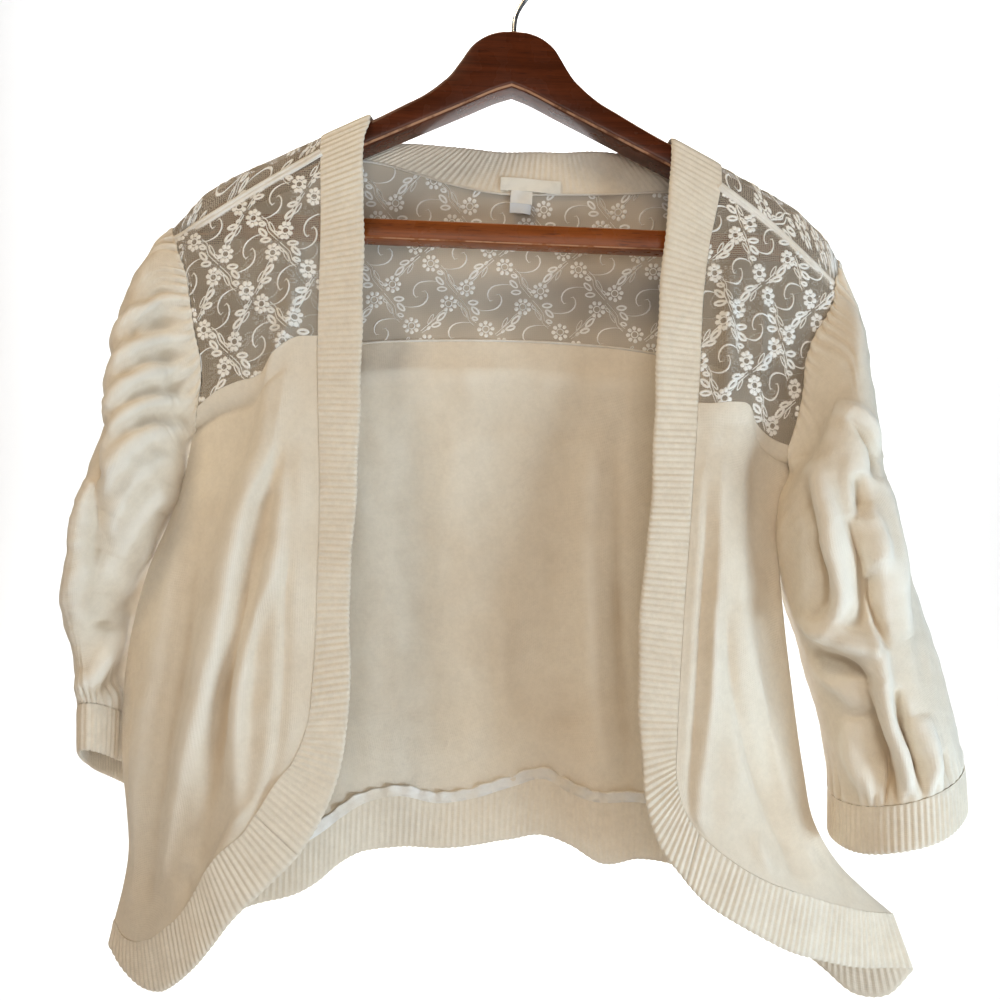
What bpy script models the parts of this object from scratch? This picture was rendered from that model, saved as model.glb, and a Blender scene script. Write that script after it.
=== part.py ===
"""Open-front cardigan with ribbed bands, lace yokes and gathered elbow sleeves,
hanging on a wooden hanger with a bar.

Lengths are in millimetres and turned into metres when a mesh is made.
X runs across the shoulders, Y into the garment's back, Z up.
The origin is the inner top of the hook, where a rod holds it.
"Right" and "left" in names are the wearer's: the right side is at negative X.
"""

import math

import bmesh
import bpy
import numpy as np

MM = 0.001

# Walls
JERSEY = 1.2
LACE = 1.0
BAND = 1.7  # a band's wall in the valleys between its ribs
RIB_HEIGHT = 0.7
RIB_PITCH = 4.0
CUFF_PITCH = 3.7
SEAM_GAP = 0.3
LABEL = 1.0

# Hanger
WOOD_HALF = 11.0  # half of the wood's thickness
BAR_HALF_Y = 8.0
BAR_TOP, BAR_BOTTOM = -199.4, -213.0
BAR_HALF_LENGTH = 188.0
WIRE_RADIUS = 1.75
HOOK_RADIUS = 21.75
STEM_BOTTOM = -92.0
HOLE_CLEARANCE = 0.25

FRONT_SEAM_X = (-122, 139.5)  # where the front bands' seams cross the arms

# How the cloth lies over an arm: depth, and rise over the arm's top edge.
OVER_ARM = [(-13.8, -5.0), (-12.0, 1.0), (-5.0, 3.2), (5.0, 3.2), (12.0, 1.0)]

# The hanger's half outline from the top of its hump to the arm's end.
HANGER_TOP = [  # x, z
    (0, -70.0), (11, -71.2), (20, -75), (28, -82), (34, -91.5), (40, -100.5), (47, -107.5),
    (57, -115.5), (70, -123), (85, -131.5), (102, -140.5), (120, -149), (138, -158.3),
    (155, -167.2), (175, -177.6), (186, -184), (195, -190.5), (201, -197.5), (204, -206),
]
HANGER_BOTTOM = [  # x, z
    (202, -213.5), (198, -216.8), (193, -216.8), (188.1, -214.5), (188.1, -198.2), (172, -190.1),
    (120, -165), (70, -140.8), (30, -121.5), (9, -111.4), (0, -108.2),
]

# Right front band, from the shoulder to the hem: seam edge, then opening edge.
FRONT_BAND_RIGHT = [  # seam x, y, z, opening x, y, z
    (-122, -15, -160, -93.5, -15.5, -146),
    (-121, -17, -172, -94.5, -18, -160),
    (-119, -20, -200, -92, -20, -190),
    (-117, -23, -240, -89.5, -23, -235),
    (-115, -26, -290, -87.5, -26, -288),
    (-111, -29, -340, -86, -29, -340),
    (-107, -33, -390, -85, -33, -390),
    (-105, -37, -440, -85.5, -37, -440),
    (-104, -40, -490, -82.5, -40, -486),
    (-106, -43, -525, -82, -42, -524),
    (-112, -45, -543, -86, -44, -552),
    (-121, -47, -557, -94, -46, -577),
    (-132, -48, -575, -106, -47, -597),
]
# Right hem band, from the corner seam to the side seam.
HEM_BAND_RIGHT = [
    (-132, -48, -575, -106, -47, -597),
    (-140, -48.5, -587, -119, -48, -611),
    (-150, -48, -596, -131, -47, -624),
    (-158, -46, -607, -144, -45, -638),
    (-165, -42, -621, -155, -41, -653),
    (-174, -37, -636, -166, -36, -668),
    (-185, -31, -647, -178, -29, -680),
    (-197, -23, -657, -191, -21, -688),
    (-209, -14, -662, -206, -13, -688),
    (-219, -7, -661, -219, -6, -681),
    (-227, -1.5, -653, -229.5, -1.5, -669),
]
FRONT_BAND_LEFT = [
    (138.5, -15, -170, 105.5, -15.5, -154),
    (136, -17, -185, 105, -18, -167),
    (131, -20, -212, 103, -20, -200),
    (127.5, -23, -245, 100, -23, -240),
    (126, -26, -290, 98.5, -26, -288),
    (124, -29, -340, 98, -29, -340),
    (121.5, -33, -390, 96.5, -33, -390),
    (118.5, -37, -440, 92, -37, -438),
    (116, -41, -490, 91.5, -41, -488),
    (115, -43, -525, 94, -43, -528),
    (115, -45, -545, 98, -45, -560),
    (119.5, -46, -561, 108, -46, -586),
    (129, -46, -575, 122, -46.5, -603),
]
HEM_BAND_LEFT = [
    (129, -46, -575, 122, -46.5, -603),
    (144, -45.5, -587, 135, -46, -615),
    (160, -44, -597, 152, -44.5, -626),
    (178, -40.5, -605, 172, -41, -636),
    (196, -35.5, -611.5, 191, -36, -645),
    (214, -29.5, -617.5, 211, -29, -651.5),
    (231, -23, -622.5, 232, -22, -656),
    (246, -15.5, -626, 253, -14, -659),
    (258, -10, -628, 271, -9.5, -660.5),
]
# Neck band behind the hanger, from the wearer's right shoulder to the left.
NECK_BAND = [
    (-119, 14.5, -156, -88, 15, -142),
    (-112, 15, -153.5, -82, 16.5, -139.5),
    (-98, 16, -152.5, -70, 18, -138),
    (-84, 17, -154, -56, 19, -137.5),
    (-66, 18, -158, -40, 20, -138),
    (-40, 19, -164.5, -22, 21, -139),
    (-5, 20, -169.5, 2, 21.5, -139.5),
    (34, 20, -168.5, 32, 21, -138.5),
    (73, 19, -167, 58, 20, -137.5),
    (104, 17, -165, 82, 18, -139.5),
    (122, 15.7, -164.2, 93, 16.5, -143),
    (138, 14.5, -165, 103, 15, -148),
]
# Back hem band, from the right side seam to the left one.
HEM_BAND_BACK = [
    (-226, 2.5, -653, -227, 2.5, -671),
    (-204, 8, -644, -203, 8, -668),
    (-178, 10, -632, -178, 9.5, -658),
    (-143, 12, -619, -144, 11.5, -646),
    (-118, 16, -609, -117, 15.7, -638.5),
    (-104, 19, -601, -103.5, 19, -631),
    (-92, 22, -591.5, -92, 22.3, -621.5),
    (-79, 26, -583, -79, 26.5, -614),
    (-55, 31.5, -577.5, -55, 32, -611),
    (-28, 33.5, -581.5, -29, 35, -611.5),
    (-6, 34.5, -578, -5, 36, -609),
    (20, 35.5, -569.5, 19, 36.5, -604.5),
    (42, 36, -563.5, 41, 36, -600),
    (58, 35, -571, 60, 34, -606),
    (72, 34, -576, 78, 33, -615.5),
    (108, 34, -576, 107, 34, -613),
    (138, 32, -582, 137, 32.5, -617),
    (172, 26, -600, 171, 27, -634),
    (204, 16, -622, 202, 17.5, -656),
    (222, 9.5, -632.5, 223, 10.2, -670),
    (236, 4, -636.5, 241, 3.8, -682),
    (249, -1.2, -635.5, 258.5, -2, -680),
    (259.5, -5.8, -630, 273, -6, -662),
]

# Seams between the lace yokes and the plain panels.
YOKE_SEAM_RIGHT = [
    (-115, -25.7, -283), (-129, -28, -285), (-141, -29, -294), (-150, -26, -309),
    (-166, -22, -314), (-180, -17, -320), (-192, -12, -329),
]
YOKE_SEAM_LEFT = [
    (125, -27.5, -316), (134, -29.5, -316), (146, -30, -314.5), (156, -27, -315),
    (163, -21, -326), (174, -15, -334), (187, -11, -338),
]
YOKE_SEAM_BACK = [
    (-200, 13, -321), (-176, 17, -302), (-148, 20, -288), (-93, 23, -276), (-30, 25, -271),
    (43, 25, -270), (105, 23, -275), (155, 20, -287), (180, 17, -302), (200, 13, -321),
]
# Front shoulder seam, a little below the ridge, from the band to the armhole.
SHOULDER_RIGHT = [(-122.5, -15, -159), (-147, -14.5, -174), (-175, -14.5, -193), (-203, -13, -212),
                  (-215, -8, -218)]
SHOULDER_LEFT = [(138.5, -15, -170), (155, -14.5, -181), (175, -14.5, -197), (199, -13.5, -218),
                 (215, -8.5, -230)]
# Armholes: shoulder seam to underarm in front, then the shoulder's tip and the back.
ARMHOLE_FRONT_RIGHT = [(-215, -8, -218), (-210, -12, -230), (-204, -14, -243), (-200, -15, -261),
                       (-196, -15, -280), (-191, -14, -300), (-190, -13, -315), (-192, -12, -329)]
UNDERARM_RIGHT = [(-192, -12, -329), (-194, -7, -338), (-197, 1, -344)]
ARMHOLE_FRONT_LEFT = [(215, -8.5, -230), (213.5, -12.5, -241), (208, -14.5, -254), (200, -15, -268),
                      (195.5, -15, -283), (194, -14, -306), (190.5, -12.5, -325), (187, -11, -338)]
UNDERARM_LEFT = [(187, -11, -338), (189.5, -6.5, -346), (194, 1, -350)]
TIP_RIGHT = [(-215, -8, -218), (-216.5, -7, -214.5), (-217.5, -4.5, -211.5), (-218, -1, -210),
             (-218, 4, -210.5), (-217, 9, -214), (-214, 14, -227)]
TIP_LEFT = [(215, -8.5, -230), (216.5, -8, -224), (217.8, -6.5, -218), (218.5, -2.5, -213),
            (218.5, 3.5, -211.5), (217.5, 9, -215), (214, 14, -227)]
ARMHOLE_BACK_RIGHT = [(-214, 14, -227), (-208, 16, -250), (-203, 16, -280), (-201, 15, -302),
                      (-200, 13, -321)]
ARMHOLE_BACK_LEFT = [(214, 14, -227), (208, 16, -250), (203, 16, -280), (201, 15, -302),
                     (200, 13, -321)]
# Side seams from underarm to hem band.
SIDE_RIGHT = [(-197, 1, -344), (-201, 1, -373), (-209, 1, -403), (-219, 1, -430), (-226, 1, -460),
              (-230, 1, -490), (-231, 1, -520), (-229, 1, -556), (-224, 1, -586), (-221, 1, -612),
              (-223, 1, -634), (-226.5, 0.5, -653)]
SIDE_LEFT = [(194, 1, -350), (186, 1, -377), (185, 1, -410), (189, 1, -450), (196, 1, -500),
             (203, 0, -545), (210, -2, -577), (225, -5, -601), (243, -7, -617), (258.5, -8.3, -629)]

# Folds on a panel: place across at the top and at the foot (0 to 1 from the opening to the side),
# where along the panel it starts and ends (0 top to 1 foot), half width and height in millimetres.
FOLDS_RIGHT = [
    (0.40, 0.62, -0.30, 1.05, 10, 7), (0.24, 0.30, -0.20, 0.98, 8, -6), (0.10, 0.16, 0.02, 0.95, 8, 7),
    (0.70, 0.80, 0.20, 1.20, 14, 5), (0.52, 0.45, 0.35, 1.00, 9, -3), (0.36, 0.30, 0.45, 1.10, 9, 4),
]
FOLDS_LEFT = [
    (0.10, 0.10, -0.20, 1.00, 7, 4), (0.26, 0.16, -0.10, 0.80, 7, -3), (0.44, 0.40, -0.20, 1.05, 13, 5),
    (0.62, 0.70, 0.05, 1.10, 8, -4), (0.80, 0.84, 0.10, 1.20, 12, 4),
]
FOLDS_BACK = [
    (0.32, 0.30, 0.00, 1.15, 22, 6), (0.45, 0.48, -0.10, 1.10, 20, -5), (0.62, 0.63, -0.10, 1.15, 16, 7),
    (0.74, 0.78, 0.10, 1.20, 20, -5), (0.16, 0.14, 0.10, 1.20, 22, -5),
]
YOKE_FOLDS_RIGHT = [(0.30, 0.36, 0.30, 1.60, 10, 3.5), (0.68, 0.62, 0.10, 1.40, 12, -2.5)]
YOKE_FOLDS_LEFT = [(0.20, 0.32, 0.10, 1.60, 9, 4), (0.46, 0.52, 0.05, 1.50, 9, -3),
                   (0.70, 0.74, 0.20, 1.40, 8, 3)]

# Sleeve sections: outer side x, y, z, inner side x, y, z, half depth, how far the back hangs lower.
SLEEVE_RIGHT = [
    (-231, -1, -221, -202, 3, -348, 22, 0),
    (-241, 0, -238, -206, 4, -352, 33, 0),
    (-250, 0, -268, -208, 5, -358, 42, 0),
    (-252.5, -1, -304, -209, 6, -372, 47, 2),
    (-254, -2, -344, -212, 10, -392, 50, 6),
    (-260, -4, -384, -223, 16, -416, 50, 12),
    (-262, -6, -424, -230, 29, -446, 48, 18),
    (-264, 0, -468, -234, 36, -482, 47, 20),
    (-262, 8, -502, -231, 41, -514, 46, 22),
    (-259, 14, -533, -226, 44, -545, 43, 20),
]
CUFF_RIGHT = [
    (-259, 14, -533, -226, 44, -545, 43, 20),
    (-257, 15, -562, -226, 44, -575, 43, 20),
]
SLEEVE_LEFT = [
    (235, -2, -249, 194.5, 1, -358, 35, 0),
    (241, -3, -279, 191, -1, -370, 44, 0),
    (246.5, -4, -311, 189, -3, -388, 49, 0),
    (251, -5, -350, 190.5, -5, -410, 51, 0),
    (257, -5, -388, 194, -7, -435, 51, 0),
    (266, -5, -430, 202, -8, -467, 50, 0),
    (278, -5, -466, 210, -9, -500, 49, 0),
    (289, -5, -497, 217, -10, -530, 48, -2),
    (297, -5, -529, 220, -11, -557, 47, -4),
]
CUFF_LEFT = [
    (297, -5, -529, 220, -11, -557, 47, -4),
    (299, -5, -556, 220, -12, -584, 48, -4),
]
# Folds on a sleeve: degrees round from the outer side toward the front, at its start and its end,
# where along the sleeve it starts and ends, half width in degrees, height in millimetres.
SLEEVE_FOLDS_RIGHT = [
    (95, 20, 0.05, 0.50, 16, 4), (130, 40, 0.20, 0.70, 16, 4.5), (150, 70, 0.38, 0.92, 18, 4.5),
    (60, 10, 0.00, 0.30, 14, 3), (215, 230, 0.20, 0.95, 22, 4), (290, 280, 0.10, 0.85, 22, 4),
]
SLEEVE_FOLDS_LEFT = [
    (95, 120, 0.02, 0.40, 15, 4.5), (140, 60, 0.30, 0.60, 15, 5), (120, 110, 0.50, 1.00, 18, 5),
    (50, 62, 0.45, 0.95, 13, -4), (28, 30, 0.40, 1.00, 11, 4), (230, 235, 0.15, 0.95, 22, 4),
    (300, 285, 0.10, 0.90, 22, 4),
]
# The sleeve's column that the gathering cord follows, counted from the outer side to the front.
RUCHING_RIGHT = 3
RUCHING_LEFT = 0
SLEEVE_COLUMNS = 28
SLEEVE_ROWS = 21
PUCKER_STEPS = 3  # puckered rows to one row of the sleeve
INSIDE_RIBS = 3  # ribs to one step of a band's plain inside
OVER_ARM_RIBS = 11  # ribs of a front band over the hanger's arm, each with its own inside step
PUCKER_HEIGHT = 1.6
GATHER_HEIGHT = 1.3

YOKE_DOWN, PANEL_DOWN, BACK_DOWN, BACK_YOKE_DOWN = 8, 18, 14, 6
# Shares of the width where the panels' columns stand, closer together where the hem turns.
PANEL_COLUMNS = (0, 0.1, 0.2, 0.29, 0.36, 0.44, 0.51, 0.58, 0.64, 0.72, 0.8, 0.92, 1)
BACK_COLUMNS = (0, 0.07, 0.13, 0.175, 0.2, 0.22, 0.24, 0.262, 0.3, 0.35, 0.405, 0.46, 0.51, 0.56,
                0.61, 0.67, 0.74, 0.81, 0.875, 0.935, 1)
CAP_SHARES = (0.0, 0.08, 0.2, 0.36, 0.64, 1.0)  # columns of the back yoke over an arm, tip to neck

CREAM = (0.83, 0.78, 0.68)
LACE_CREAM = (0.86, 0.83, 0.76)
MAHOGANY = (0.16, 0.045, 0.022)
BAR_BROWN = (0.28, 0.10, 0.04)
STEEL = (0.60, 0.60, 0.61)
LABEL_CREAM = (0.90, 0.87, 0.80)


def collection(name):
    """A new collection in the scene."""
    made = bpy.data.collections.new(name)
    bpy.context.scene.collection.children.link(made)
    return made


def material(name, colour, roughness, metallic=0.0):
    """A plain Principled material."""
    made = bpy.data.materials.new(name)
    made.use_nodes = True
    shader = made.node_tree.nodes["Principled BSDF"]
    shader.inputs["Base Color"].default_value = (*colour, 1)
    shader.inputs["Roughness"].default_value = roughness
    shader.inputs["Metallic"].default_value = metallic
    return made


def solid(name, points, faces, colour, roughness=0.9, metallic=0.0, home=None):
    """One named mesh object made from millimetre points."""
    mesh = bpy.data.meshes.new(name)
    mesh.from_pydata((np.asarray(points, float) * MM).tolist(), [], [list(f) for f in faces])
    mesh.update()
    made = bpy.data.objects.new(name, mesh)
    (home or garment).objects.link(made)
    mesh.materials.append(material(name + "_material", colour, roughness, metallic))
    return made


def apply_modifiers(made):
    """Replaces a mesh by what its modifiers make of it."""
    seen = made.evaluated_get(bpy.context.evaluated_depsgraph_get())
    mesh = bpy.data.meshes.new_from_object(seen)
    made.modifiers.clear()
    made.data = mesh


def smooth(rows, count):
    """A smooth line through the rows, with a count of points evenly along the first three columns."""
    rows = np.array(rows, float)
    step = np.linalg.norm(np.diff(rows[:, :3], axis=0), axis=1)
    if rows.shape[1] > 5:
        step = step + np.linalg.norm(np.diff(rows[:, 3:6], axis=0), axis=1)
    at = np.concatenate([[0], np.cumsum(step)])
    slope = np.gradient(rows, at, axis=0)
    fine = np.linspace(0, at[-1], 40 * len(rows))
    fine[-1] = at[-1]
    i = np.clip(np.searchsorted(at, fine, side="right") - 1, 0, len(at) - 2)
    h = (at[i + 1] - at[i])[:, None]
    t = (fine - at[i])[:, None] / h
    line = ((2 * t**3 - 3 * t**2 + 1) * rows[i] + (t**3 - 2 * t**2 + t) * h * slope[i]
            + (3 * t**2 - 2 * t**3) * rows[i + 1] + (t**3 - t**2) * h * slope[i + 1])
    return even(line, count)


def even(line, places):
    """The line again, at a count of even places or at given shares of its length."""
    places = np.linspace(0, 1, places) if np.isscalar(places) else np.array(places)
    width = min(line.shape[1], 6)
    along = np.concatenate([[0], np.cumsum(np.linalg.norm(np.diff(line[:, :width], axis=0), axis=1))])
    wanted = places * along[-1]
    return np.stack([np.interp(wanted, along, line[:, k]) for k in range(line.shape[1])], axis=1)


def edge(*pieces):
    """A dense line through several tables, end to end."""
    lines = [smooth(piece, 300) for piece in pieces]
    return np.concatenate([lines[0]] + [line[1:] for line in lines[1:]])


def patch(top, foot, near, far, across, down):
    """A four-sided surface blended from its edges, as a grid of rows from top to foot.

    across lists the columns' shares of the width, and down counts the steps to the foot.
    """
    top, foot = even(top, across), even(foot, across)
    near, far = even(near, down + 1), even(far, down + 1)
    u = np.array(across)[None, :, None]
    v = np.linspace(0, 1, down + 1)[:, None, None]
    corners = ((1 - u) * (1 - v) * top[0] + u * (1 - v) * top[-1]
               + (1 - u) * v * foot[0] + u * v * foot[-1])
    return ((1 - v) * top[None] + v * foot[None] + (1 - u) * near[:, None] + u * far[:, None]
            - corners)


def unit(rows):
    """Directions of length one."""
    return rows / np.linalg.norm(rows, axis=-1, keepdims=True)


def across_edge(line, inward, facing, ring=False):
    """The direction at each point of an edge that lies in the surface and squarely across it."""
    along = np.roll(line, -1, axis=0) - np.roll(line, 1, axis=0) if ring else np.gradient(line, axis=0)
    way = unit(np.cross(facing, along))
    return way * np.sign((way * (inward - line)).sum(1, keepdims=True))


def ease(grid, normals):
    """Draws a grid's edges back by half a seam gap."""
    moved = grid.copy()
    for line, inner in ((0, 1), (-1, -2)):
        moved[line] += across_edge(grid[line], grid[inner], normals[line]) * SEAM_GAP / 2
        moved[:, line] += (across_edge(grid[:, line], grid[:, inner], normals[:, line])
                           * SEAM_GAP / 2)
    return moved


def fold(grid, across, folds, belly, side):
    """Moves a grid's inner points out by its folds and by a soft belly; side is -1 front, 1 back."""
    v = np.linspace(0, 1, len(grid))[:, None]
    u = np.array(across)[None, :]
    width = np.linalg.norm(grid[:, -1] - grid[:, 0], axis=1)[:, None]
    lift = belly * np.sin(math.pi * u) * np.sin(math.pi * v)
    held = np.clip(6 * u, 0, 1) * np.clip(6 * (1 - u), 0, 1)
    for top_place, foot_place, start, end, half_width, height in folds:
        place = top_place + (foot_place - top_place) * v
        run = np.clip((v - start) / max(end - start, 0.01), 0, 1)
        lift = lift + (height * np.exp(-(((u - place) * width / half_width) ** 2))
                       * np.sin(math.pi * run) ** 0.7 * held)
    ends = np.clip(5 * v, 0, 1) * np.clip(5 * (1 - v), 0, 1)
    grid[:, :, 1] += side * lift * (0.25 + 0.75 * ends)
    grid[0, :, 1] -= side * (lift * 0.25)[0]
    grid[-1, :, 1] -= side * (lift * 0.25)[-1]
    return grid


def outward(grid, sign, ring=False):
    """Unit normals of a grid of points."""
    if ring:
        along = np.roll(grid, -1, axis=1) - np.roll(grid, 1, axis=1)
    else:
        along = np.gradient(grid, axis=1)
    normal = np.cross(along, np.gradient(grid, axis=0)) * sign
    return normal / np.linalg.norm(normal, axis=2, keepdims=True)


def grid_faces(rows, columns, start=0, flip=False, ring=False):
    """Quads over a grid of points."""
    faces = []
    for i in range(rows - 1):
        for j in range(columns if ring else columns - 1):
            k = (j + 1) % columns
            quad = [start + i * columns + j, start + i * columns + k,
                    start + (i + 1) * columns + k, start + (i + 1) * columns + j]
            faces.append(quad[::-1] if flip else quad)
    return faces


def rim(outer, inner, outer_at, inner_at, flip=False):
    """Triangles that join two chains of points; each chain says where its points lie."""
    faces, i, j = [], 0, 0
    while i < len(outer) - 1 or j < len(inner) - 1:
        if j == len(inner) - 1:
            ahead = True
        elif i == len(outer) - 1:
            ahead = False
        else:
            ahead = outer_at[i + 1] <= (inner_at[j] + inner_at[j + 1]) / 2 + 1e-9
        if ahead:
            face, i = [outer[i], outer[i + 1], inner[j]], i + 1
        else:
            face, j = [outer[i], inner[j + 1], inner[j]], j + 1
        faces.append(face[::-1] if flip else face)
    return faces


def nearest(points, line, facing, reach):
    """Moves points onto a seam where they are within reach of it, with the seam's normals there."""
    start, step = line[:-1], np.diff(line, axis=0)
    size = np.maximum((step**2).sum(1), 1e-12)
    share = np.clip(((points[:, None] - start[None]) * step[None]).sum(2) / size, 0, 1)
    spot = start[None] + share[:, :, None] * step[None]
    away = np.linalg.norm(spot - points[:, None], axis=2)
    best = away.argmin(axis=1)
    row = np.arange(len(points))
    near = away[row, best] < reach
    moved = points.copy()
    moved[near] = spot[row, best][near]
    part = share[row, best][:, None]
    return moved, near, unit(facing[best] * (1 - part) + facing[best + 1] * part)


def standing_out(chain, way, line):
    """How far to move each point of a chain so that no corner of a seam line stands past it."""
    move = np.zeros(len(chain))
    start, step = chain[:-1], np.diff(chain, axis=0)
    for corner in line:
        share = ((corner - start) * step).sum(1) / (step**2).sum(1)
        spot = start + np.clip(share, 0, 1)[:, None] * step
        i = int(np.linalg.norm(spot - corner, axis=1).argmin())
        out = float(((corner - spot[i]) * (way[i] + way[i + 1]) / 2).sum())
        if 0 < out < 2:
            move[i], move[i + 1] = max(move[i], out), max(move[i + 1], out)
    return move


def wall(name, points, faces, normals, thick, colour):
    """A cloth piece of even thickness from its middle surface and the directions out of it."""
    n = len(points)
    used = {}
    for face in faces:
        for a, b in zip(face, face[1:] + face[:1]):
            used[a, b] = used.get((a, b), 0) + 1
    halves = [half for a, b, c, d in faces for half in ([a, b, c], [a, c, d])]
    faces = (halves + [[i + n for i in f[::-1]] for f in halves]
             + [[b, a, a + n, b + n] for a, b in used if (b, a) not in used])
    both = np.concatenate([points + normals * thick / 2, points - normals * thick / 2])
    return solid(name, both, faces, colour)


def panel(name, grid, normals, thick, colour, flip=False):
    """A cloth piece made from a grid of its middle surface."""
    rows, columns = grid.shape[:2]
    wall(name, grid.reshape(-1, 3), grid_faces(rows, columns, flip=flip),
         normals.reshape(-1, 3), thick, colour)


def point_normals(points, faces):
    """Directions out of a surface of quads at its points."""
    total = np.zeros_like(points)
    for f in faces:
        total[f] += np.cross(points[f[2]] - points[f[0]], points[f[3]] - points[f[1]])
    return unit(total)


def agree(one, other):
    """Gives two rows of normals along a shared seam their middle direction."""
    one[:] = unit(one + other)
    other[:] = one


def ribbed(name, stations, pitch, sign, seam_line, close=0, ring=False):
    """A band whose outer points rise in ribs that run across it, over a plain inside.

    seam_line is the edge that it is sewn to, with the normals there. close is how many of its
    first ribs have a step of the plain inside each.
    """
    stations = np.array(stations, float)
    middle = smooth(stations, 400)
    length = np.linalg.norm(np.diff((middle[:, :3] + middle[:, 3:6]) / 2, axis=0), axis=1).sum()
    ribs = close + INSIDE_RIBS * max(1, round((length / pitch - close) / INSIDE_RIBS))
    fine = smooth(stations, 2 * ribs + 1)
    if ring:
        fine = fine[:-1]
    seam, opening = fine[:, :3].copy(), fine[:, 3:6].copy()
    seam, near, facing = nearest(seam, *seam_line, 8.0)
    if ring:
        along = np.roll(seam + opening, -1, axis=0) - np.roll(seam + opening, 1, axis=0)
    else:
        along = np.gradient(seam + opening, axis=0)
    normal = np.cross(along, opening - seam) * sign
    normal = unit(normal)
    normal_seam = np.where(near[:, None], facing, normal)
    way = across_edge(seam, opening, normal_seam, ring)
    seam += way * (SEAM_GAP / 2 + standing_out(seam, way, seam_line[0])[:, None])
    if not ring:
        for chain in (seam, opening):
            chain[0] += unit(chain[1] - chain[0]) * SEAM_GAP / 2
            chain[-1] += unit(chain[-2] - chain[-1]) * SEAM_GAP / 2
    high = BAND / 2 + RIB_HEIGHT * (np.arange(len(fine)) % 2)
    out_seam, out_open = seam + normal_seam * high[:, None], opening + normal * high[:, None]
    pick = list(range(0, 2 * close, 2)) + list(range(2 * close, len(fine), 2 * INSIDE_RIBS))
    in_seam = seam[pick] - normal_seam[pick] * BAND / 2
    in_seam += way[pick] * standing_out(seam[pick], way[pick], seam_line[0])[:, None]
    in_open = opening[pick] - normal[pick] * BAND / 2
    n, m = len(fine), len(pick)
    points = np.concatenate([out_seam, out_open, in_seam, in_open])
    flip = sign < 0
    faces = []
    for a, b, count, turned in ((0, n, n, flip), (2 * n, 2 * n + m, m, not flip)):
        for j in range(count if ring else count - 1):
            k = (j + 1) % count
            quad = [a + j, a + k, b + k, b + j]
            faces.append(quad[::-1] if turned else quad)
    chain, inside = list(range(n)), list(range(m))
    chain_at, inside_at = list(range(n)), list(pick)
    if ring:
        chain, inside = chain + [0], inside + [0]
        chain_at, inside_at = chain_at + [n], inside_at + [n]
    faces += rim(chain, [2 * n + i for i in inside], chain_at, inside_at, not flip)
    faces += rim([n + i for i in chain], [2 * n + m + i for i in inside], chain_at, inside_at, flip)
    if not ring:
        first = [0, n, 2 * n + m, 2 * n]
        last = [n - 1, 2 * n - 1, 2 * n + 2 * m - 1, 2 * n + m - 1]
        faces += [first[::-1] if flip else first, last if flip else last[::-1]]
    return solid(name, points, faces, CREAM)


def ring_points(row, count):
    """One sleeve section as a ring of points, from the outer side round by the front."""
    outer, inner, half_depth, hang = np.array(row[:3]), np.array(row[3:6]), row[6], row[7]
    turn = np.arange(count) * 2 * math.pi / count
    depth = np.array([0, half_depth, -hang])
    middle = (outer + inner) / 2
    return (middle + (outer - middle) * np.cos(turn)[:, None] - depth * np.sin(turn)[:, None])


def armhole_ring(front, back, shift, count):
    """The armhole as a ring of points from the shoulder's tip round by the front."""
    ring = np.concatenate([even(front, count // 2 + 1)[:-1], even(back, count // 2 + 1)[:-1]])
    low = (1 - np.cos(np.arange(count) * 2 * math.pi / count)) / 2
    ring[:, 0] += shift * (1.1 + 2.1 * low**2)
    return ring


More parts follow.
